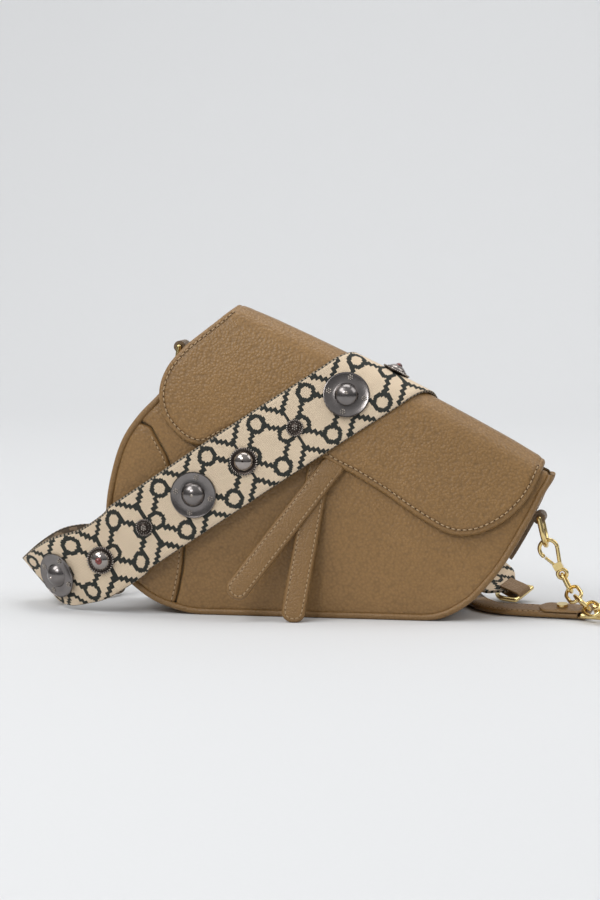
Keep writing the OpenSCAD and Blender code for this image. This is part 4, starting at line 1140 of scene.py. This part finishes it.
def band_section(w, t, groove=0.18):
    """A strap's section: padded faces, rounded edges and a sewing groove on each side."""
    half = np.array([(0.0, 1.0), (0.45, 0.99), (0.66, 0.96), (0.73, 0.96 - groove), (0.80, 0.93),
                     (0.92, 0.80), (0.985, 0.5), (1.0, 0.2)]) * [w / 2, t / 2]
    right = np.concatenate([half, half[::-1] * [1, -1]])
    return np.concatenate([right, right[1:-1][::-1] * [-1, 1]])[::-1]


# ---------------------------------------------------------------- add-on

class HandbagSettings(bpy.types.PropertyGroup):
    """Colours and stage of the handbag."""

    leather: FloatVectorProperty(
        name="Leather", description="Colour of the bag's leather", subtype="COLOR",
        default=srgb(143, 109, 65))
    dark: FloatVectorProperty(
        name="Edge leather", description="Colour of the ring tabs", subtype="COLOR",
        default=srgb(112, 92, 68))
    gold: FloatVectorProperty(
        name="Gold", description="Colour of the rings, hooks and chain", subtype="COLOR",
        default=srgb(240, 214, 150))
    cream: FloatVectorProperty(
        name="Cream yarn", description="Ground colour of the woven strap", subtype="COLOR",
        default=srgb(240, 219, 190))
    charcoal: FloatVectorProperty(
        name="Charcoal yarn", description="Pattern colour of the woven strap", subtype="COLOR",
        default=srgb(46, 49, 44))
    floor: FloatVectorProperty(
        name="Floor", description="Colour of the floor and backdrop", subtype="COLOR",
        default=srgb(217, 218, 219))
    key_power: FloatProperty(
        name="Key light", description="Power of the large soft lamp", default=37.0, min=0.0,
        unit="POWER")
    fill: FloatProperty(
        name="Fill", description="Strength of the light from all round", default=0.42, min=0.0)


class Builder:
    """Shared part of the operators."""

    bl_options = {"REGISTER", "UNDO"}

    def execute(self, context):
        self.build(context.scene.handbag)
        return {"FINISHED"}

    @staticmethod
    def put(obj, body, node, slot="leather"):
        """The piece rides on a body, in the place of a CAD node."""
        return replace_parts(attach(obj, body), node)

    @staticmethod
    def sew(stitches, body):
        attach(stitches, body)


class HANDBAG_OT_finishes(Builder, bpy.types.Operator):
    """Makes the finishes and gives them to the CAD parts that stay in view"""

    bl_idname = "handbag.finishes"
    bl_label = "Finishes"

    def build(self, look):
        FINISHES.update({
            "leather": leather_finish("leather", look.leather),
            "smooth_leather": leather_finish("smooth_leather",
                                             [c * 0.9 for c in look.leather], 900.0, 0.0003,
                                             0.42, 0.7),
            # The groove's finish: the bag's leather at under half its brightness, painted shade in
            # the sunk sewing groove.
            "groove": leather_finish("groove", [c * 0.45 for c in look.leather], 800.0, 0.0003,
                                     0.6),
            "dark_leather": leather_finish("dark_leather", look.dark, 800.0, 0.0003, 0.45),
            "lining": cloth_finish("lining", srgb(150, 128, 98)),
            "board": board_finish("board", srgb(119, 115, 108)),
            "gold": metal_finish("gold", look.gold, 0.17),
            "gunmetal": metal_finish("gunmetal", srgb(132, 127, 125), 0.24, 0.08),
            "bright_metal": metal_finish("bright_metal", srgb(168, 160, 155), 0.16, 0.06),
            "dark_metal": metal_finish("dark_metal", srgb(70, 62, 58), 0.35, 0.1),
            "silver": metal_finish("silver", srgb(176, 168, 160), 0.22, 0.10),
            "stone": glass_finish("stone", srgb(120, 34, 26)),
            # Dark brown of the stitch holes: painted shade, not a colour of the leather or thread.
            "hole_shade": cloth_finish("hole_shade", srgb(70, 50, 34)),
            "thread": thread_finish("thread", srgb(186, 158, 122)),
            "webbing": webbing_finish("webbing", look.cream, look.charcoal, look.charcoal),
            "webbing_back": webbing_finish("webbing_back", srgb(92, 79, 64), srgb(142, 122, 98),
                                           srgb(70, 62, 52)),
        })
        for part in frame["record"]["subparts"]:
            paint(frame["nodes"][part["node"]], part["material_slot"])


class HANDBAG_OT_panels(Builder, bpy.types.Operator):
    """Builds the front, side and back panels with their turned edges and the gusset"""

    bl_idname = "handbag.panels"
    bl_label = "Panels and gusset"

    def build(self, look):
        front, side = seam_loops()
        pieces = (("Front_panel", front, -1, "front_panel"),
                  ("Front_side_panel", side, -1, "front_side_panel"),
                  ("Back_panel", softened(cut_below(inset(BODY_LOOP, EDGE_IN), BACK_TOP_U)),
                   1, "back_panel"))
        for name, loop, facing, node in pieces:
            skin = leaf(name, loop, panel_place(facing), PANEL_T, (0.25, 0.7, 1.3), groove=None,
                        swell=panel_swell)
            self.put(paint(skin, "leather"), "bag", node)
        for name, facing in (("Front_edge", -1), ("Back_edge", 1)):
            edge = paint(edge_tube(name, facing), "smooth_leather")
            self.put(edge, "bag", name.lower() + "_roll")
        self.put(paint(sweep("Gusset", gusset_rings()), "leather"), "bag", "gusset")
        line = SEAM[(SEAM[:, 1] > 7) & (SEAM[:, 1] < SEAM[0, 1] - 7)] - [2.6, 0]
        self.sew(sewn("Seam_stitches", panel_place(-1), line, PANEL_T + 0.32), "bag")


class HANDBAG_OT_flap(Builder, bpy.types.Operator):
    """Builds the flap over the rolled top, with its sewn edge"""

    bl_idname = "handbag.flap"
    bl_label = "Flap"

    def build(self, look):
        loop = flap_loop()
        skin = leaf("Flap", loop, flap_place, FLAP_T, step=4.0, swell=self.swell)
        # The second finish darkens the sewing groove's faces: painted shade.
        paint(skin, "leather", "groove")
        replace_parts(skin, "flap_outer", "flap_lining")
        line = inset(loop, SEW_IN)
        stitches = sewn("Flap_stitches", flap_place, run_of(line, line[:, 1] < -9), FLAP_T - 0.2)
        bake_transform(skin)
        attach(stitches, "flap")

    @staticmethod
    def swell(flat, d):
        return 0.3 * bell(d, 6.5, 3.5) - 1.2 * np.exp(-d / 13)


class HANDBAG_OT_tabs(Builder, bpy.types.Operator):
    """Builds the two hanging tabs with their stitching"""

    bl_idname = "handbag.tabs"
    bl_label = "Hanging tabs"

    def build(self, look):
        for name, share, length, y, lean in (
                ("Left_tab", (0.080, 0.503), 102.0, RIGHT_TAB_Y - TAB_T - 0.3, 36.0),
                ("Right_tab", (0.043, 0.500), 97.5, RIGHT_TAB_Y, 8.5)):
            top = np.array([share[0] * BODY_W, share[1] * BODY_H])
            loop, place = tab_loop(length, top, lean), tab_place(top, y, lean)
            skin = leaf(name, loop, place, TAB_T, insets=(0.2, 0.6, 1.1, 1.6, 2.0, 2.4),
                        step=3.0, groove=TAB_SEW, groove_depth=0.25)
            # The groove finish on the tabs' sewing groove is painted shade.
            self.put(paint(skin, "smooth_leather", "groove"), "hanging_tabs",
                     name.split("_")[0].lower() + "_hanging_tab")
            line = inset(loop, TAB_SEW)
            line = run_of(line, line[:, 1] < loop[:, 1].max() - 9)
            self.sew(sewn(name + "_stitches", place, line, TAB_T - 0.15, 3.0, 2.2, 0.36),
                     "hanging_tabs")


class HANDBAG_OT_webbing(Builder, bpy.types.Operator):
    """Builds the woven strap: over the flap, folded back beside the bag, and down behind it"""

    bl_idname = "handbag.webbing"
    bl_label = "Woven strap"

    def build(self, look):
        over = list(np.arange(WEB_SPLIT, WEB_TAIL, 2.2)) + [WEB_TAIL]
        top = web_piece("Woven_top", *web_rings(over))
        rings, uv = web_rings([WEB_TAIL])
        more, more_uv = TAIL.rings(WEB_TAIL, 1)
        tail = web_piece("Woven_tail", rings + more, uv + more_uv)
        rings, uv = web_rings(np.arange(WEB_SPLIT, WEB_FOLD - 1, -4.0))
        more, more_uv = FOLD.rings(WEB_FOLD, -1)
        back = web_piece("Woven_back", rings + more, uv + more_uv, BACK_FOLDED)
        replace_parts(top, "woven_strap_front")
        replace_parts(tail, "woven_strap_front")
        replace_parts(back, "woven_strap_back")
        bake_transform(top)
        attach(tail, "flap")
        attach(back, "bag")
        lengths = (WEB_TAIL - WEB_SPLIT, more_length(TAIL),
                   WEB_SPLIT - WEB_FOLD + more_length(FOLD))
        for obj, length in zip((top, tail, back), lengths):
            length * MM


def more_length(run):
    """Length of a smoothed run beyond the wrapped part."""
    return float(lengths_along(run.mid[run.lead - EDGE_STEPS:])[-1])


class HANDBAG_OT_ends(Builder, bpy.types.Operator):
    """Builds the leather loops at both ends of the woven strap"""

    bl_idname = "handbag.ends"
    bl_label = "Strap end loops"

    def build(self, look):
        turn = np.radians(np.linspace(90, -90, 13))
        bow = np.stack([20 + BEND_R * np.cos(turn), BEND_R * np.sin(turn)], 1)
        side = np.array([(8.0, 1.75), (10.0, 1.8), (13.0, 2.0), (16.5, 2.35)])
        flat = np.concatenate([side, bow, side[::-1] * [1, -1]])
        for name, (mid, out, e, n), node in (("Front_end", FRONT_END, "front_end_tab"),
                                             ("Back_end", BACK_END, "back_end_tab")):
            path = mid + np.outer(flat[:, 0], out) + np.outer(flat[:, 1], n)
            loop = band_along(name + "_loop", path, np.broadcast_to(e, path.shape), 13.0, LOOP_T)
            body = "flap" if name == "Front_end" else "bag"
            self.put(paint(loop, "smooth_leather"), body, node)


def band_along(name, path, across, width, thick, ease=None):
    """A leather band along a path. ease narrows it at its first end over that length."""
    t = tangents(path)
    across = unit(across - (across * t).sum(1, keepdims=True) * t)
    out = np.cross(t, across)
    section = band_section(width, thick, 0.05)
    share = np.ones(len(path))
    if ease:
        share = rounded(lengths_along(path), ease, 0.08)
    rings = [p + np.outer(section[:, 0] * k, w) + np.outer(section[:, 1], n)
             for p, w, n, k in zip(path, across, out, share)]
    return sweep(name, rings)


class HANDBAG_OT_studs(Builder, bpy.types.Operator):
    """Builds the ornaments along the woven strap"""

    bl_idname = "handbag.studs"
    bl_label = "Strap ornaments"

    def build(self, look):
        groups = (("large", large_stud, LARGE_R, (0, 3, 6)),
                  ("middle", middle_stud, MIDDLE_R, (-1, 2, 5)),
                  ("small", small_stud, SMALL_R, (1, 4)))
        for name, make, r, places in groups:
            studs = [set_on(make(r, False) if k == PLAIN_STUD else make(r), stud_frame(k))
                     for k in places]
            self.put(join("Studs_" + name, studs), "flap", "strap_studs_" + name, "gunmetal")
        back = [set_on(small_stud(SMALL_R), stud_frame(-2)),
                set_on(large_stud(LARGE_R), stud_frame(-3)),
                set_on(middle_stud(MIDDLE_R), stud_frame(-4))]
        self.put(join("Studs_back", back), "bag", "strap_studs_back", "gunmetal")


class HANDBAG_OT_strap(Builder, bpy.types.Operator):
    """Builds the leather shoulder strap that lies on the floor"""

    bl_idname = "handbag.strap"
    bl_label = "Shoulder strap"

    def build(self, look):
        mid, t, across, out = strap_frames()
        section = band_section(STRAP_W, STRAP_T)
        rings = [m + np.outer(section[:, 0], w) + np.outer(section[:, 1], n)
                 for m, w, n in zip(mid, across, out)]
        strap = paint(sweep("Shoulder_strap", rings), "smooth_leather")
        self.put(strap, "bag", "shoulder_strap")
        length = float(lengths_along(mid)[-1])
        self.fold("right_strap_end", mid, across, out, -t[0])
        left = self.fold("left_strap_end", mid[::-1], across[::-1], out[::-1], t[-1])
        parts = [left] + [frame["nodes"][n] for n in (
            "left_end_stud", "left_strap_ring", "left_chain", "left_hook", "left_hook_gate")]
        tuple(mid[0] * MM)
        [tuple(p) for p in mid * MM]
        for side, name in ((1, "left"), (-1, "right")):
            row = mid + side * STRAP_SEW * across + (STRAP_T / 2 - 0.15) * out
            self.sew(stitch_row("Strap_stitches_" + name, row, out), "bag")

    def fold(self, node, mid, across, out, outward):
        """The strap's end, folded back over itself round the ring's bar."""
        count = int(np.searchsorted(lengths_along(mid), STRAP_FOLD))
        plate = (mid + 2.6 * out)[:count][::-1]
        turn = np.radians(np.linspace(90, -90, 13))
        bow = np.stack([3.65 + BEND_R * np.cos(turn), 1.45 + BEND_R * np.sin(turn)], 1)
        flat = np.concatenate([[(1.6, 3.3)], bow, [(1.8, -0.9), (0.4, -0.8)]])
        path = np.concatenate([plate, mid[0] + np.outer(flat[:, 0], outward)
                               + np.outer(flat[:, 1], out[0])])
        wide = np.concatenate([across[:count][::-1], np.broadcast_to(across[0], (len(flat), 3))])
        obj = band_along(node.capitalize(), path, wide, STRAP_W + 0.6, LOOP_T, 6.0)
        return self.put(paint(obj, "smooth_leather"), "bag", node)


class HANDBAG_OT_stage(Builder, bpy.types.Operator):
    """Builds the pale floor and backdrop, the soft lamps and the camera"""

    bl_idname = "handbag.stage"
    bl_label = "Stage"

    def build(self, look):
        scene = bpy.context.scene
        # The floor's front edge, where it starts to rise, the bend's radius, height, half width.
        near, rise_y, bend, height, half = -3.0, 1.4, 1.1, 4.0, 4.0
        profile = [(y, 0.0) for y in np.linspace(near, rise_y, 12)]
        profile += [(rise_y + bend * math.sin(a), bend - bend * math.cos(a))
                    for a in np.linspace(0, math.pi / 2, 16)[1:]]
        profile += [(rise_y + bend, z) for z in np.linspace(bend + 0.2, height, 8)]
        points = [(x, y, z) for y, z in profile for x in (-half, half)]
        faces = [(2 * i, 2 * i + 1, 2 * i + 3, 2 * i + 2) for i in range(len(profile) - 1)]
        floor = put_mesh(new_mesh("Backdrop"), points, faces, 1.0)
        pick(floor)
        bpy.ops.object.shade_smooth()
        paper = Finish("paper", 0.9, Specular_IOR_Level=0.1)
        paper.tones(paper.noise(400.0, 2.0), look.floor, 0.99, 1.01)
        floor.data.materials.clear()
        floor.data.materials.append(paper.material)
        self.lamp("Key", (-1.7, -1.1, 2.6), 1.6, look.key_power)
        self.lamp("Rim", (1.6, 0.2, 1.5), 1.2, look.key_power * 0.25)
        self.lamp("Front_light", (-0.6, -1.7, 1.5), 0.6, look.key_power * 0.32)
        self.lamp("Backdrop_light", (0.0, 0.9, 3.2), 2.0, look.key_power * 1.05, (0.0, 2.5, 0.6))
        world = bpy.data.worlds.new("Room")
        scene.world = world
        world.use_nodes = True
        self.room(world, look.fill)
        scene.view_settings.view_transform = "Standard"
        self.camera(scene)

    @staticmethod
    def room(world, strength):
        """Light from all round: dim at the horizon, bright above."""
        room = Nodes(world.node_tree)
        height = room.node("ShaderNodeSeparateXYZ", None, [room.node("ShaderNodeTexCoord")], 2)
        level = room.node("ShaderNodeMapRange", None, {
            "Value": height, "From Min": 0.0, "From Max": 0.75, "To Min": 0.25 * strength,
            "To Max": 1.25 * strength})
        back = world.node_tree.nodes["Background"]
        room.fill(back.inputs["Color"], (0.98, 0.985, 1.0, 1.0))
        room.fill(back.inputs["Strength"], level)

    @staticmethod
    def lamp(name, place, size, power, aim_at=(0.0, 0.0, 0.08)):
        lamp = added(bpy.ops.object.light_add, name, type="AREA", location=place)
        lamp.data.size = size
        lamp.data.energy = power
        aim = Vector(aim_at) - lamp.location
        lamp.rotation_euler = aim.to_track_quat("-Z", "Y").to_euler()

    @staticmethod
    def camera(scene):
        """The photograph's view of the bag, from its right and a little above."""
        camera = added(bpy.ops.object.camera_add, "Camera")
        azimuth, elevation = map(math.radians, CAMERA_TURN)
        back = Vector((math.sin(azimuth) * math.cos(elevation),
                       -math.cos(azimuth) * math.cos(elevation), math.sin(elevation)))
        camera.location = Vector(CAMERA_AIM) + CAMERA_DISTANCE * back
        camera.rotation_euler = (-back).to_track_quat("-Z", "Y").to_euler()
        camera.data.lens = CAMERA_LENS
        camera.data.sensor_width = 36.0
        camera.data.clip_end = 50.0
        scene.camera = camera


class HANDBAG_PT_panel(bpy.types.Panel):
    """Handbag builder in the sidebar"""

    bl_idname = "HANDBAG_PT_panel"
    bl_label = "Handbag"
    bl_space_type = "VIEW_3D"
    bl_region_type = "UI"
    bl_category = "Handbag"

    def draw(self, context):
        look = context.scene.handbag
        for name in ("leather", "dark", "gold", "cream", "charcoal", "floor", "key_power", "fill"):
            self.layout.prop(look, name)
        for step in STEPS:
            self.layout.operator(step.bl_idname)


STEPS = (HANDBAG_OT_stage, HANDBAG_OT_finishes, HANDBAG_OT_panels, HANDBAG_OT_flap,
         HANDBAG_OT_tabs, HANDBAG_OT_webbing, HANDBAG_OT_ends, HANDBAG_OT_studs,
         HANDBAG_OT_strap)
CLASSES = (HandbagSettings, *STEPS, HANDBAG_PT_panel)


def register():
    for cls in CLASSES:
        bpy.utils.register_class(cls)
    bpy.types.Scene.handbag = PointerProperty(type=HandbagSettings)


def unregister():
    del bpy.types.Scene.handbag
    for cls in reversed(CLASSES):
        bpy.utils.unregister_class(cls)


def main():
    register()
    bpy.ops.handbag.stage()
    bpy.ops.handbag.finishes()
    bpy.ops.handbag.strap()
    bpy.ops.handbag.panels()
    bpy.ops.handbag.flap()
    bpy.ops.handbag.tabs()
    bpy.ops.handbag.webbing()
    bpy.ops.handbag.ends()
    bpy.ops.handbag.studs()


if __name__ == "__main__":
    main()
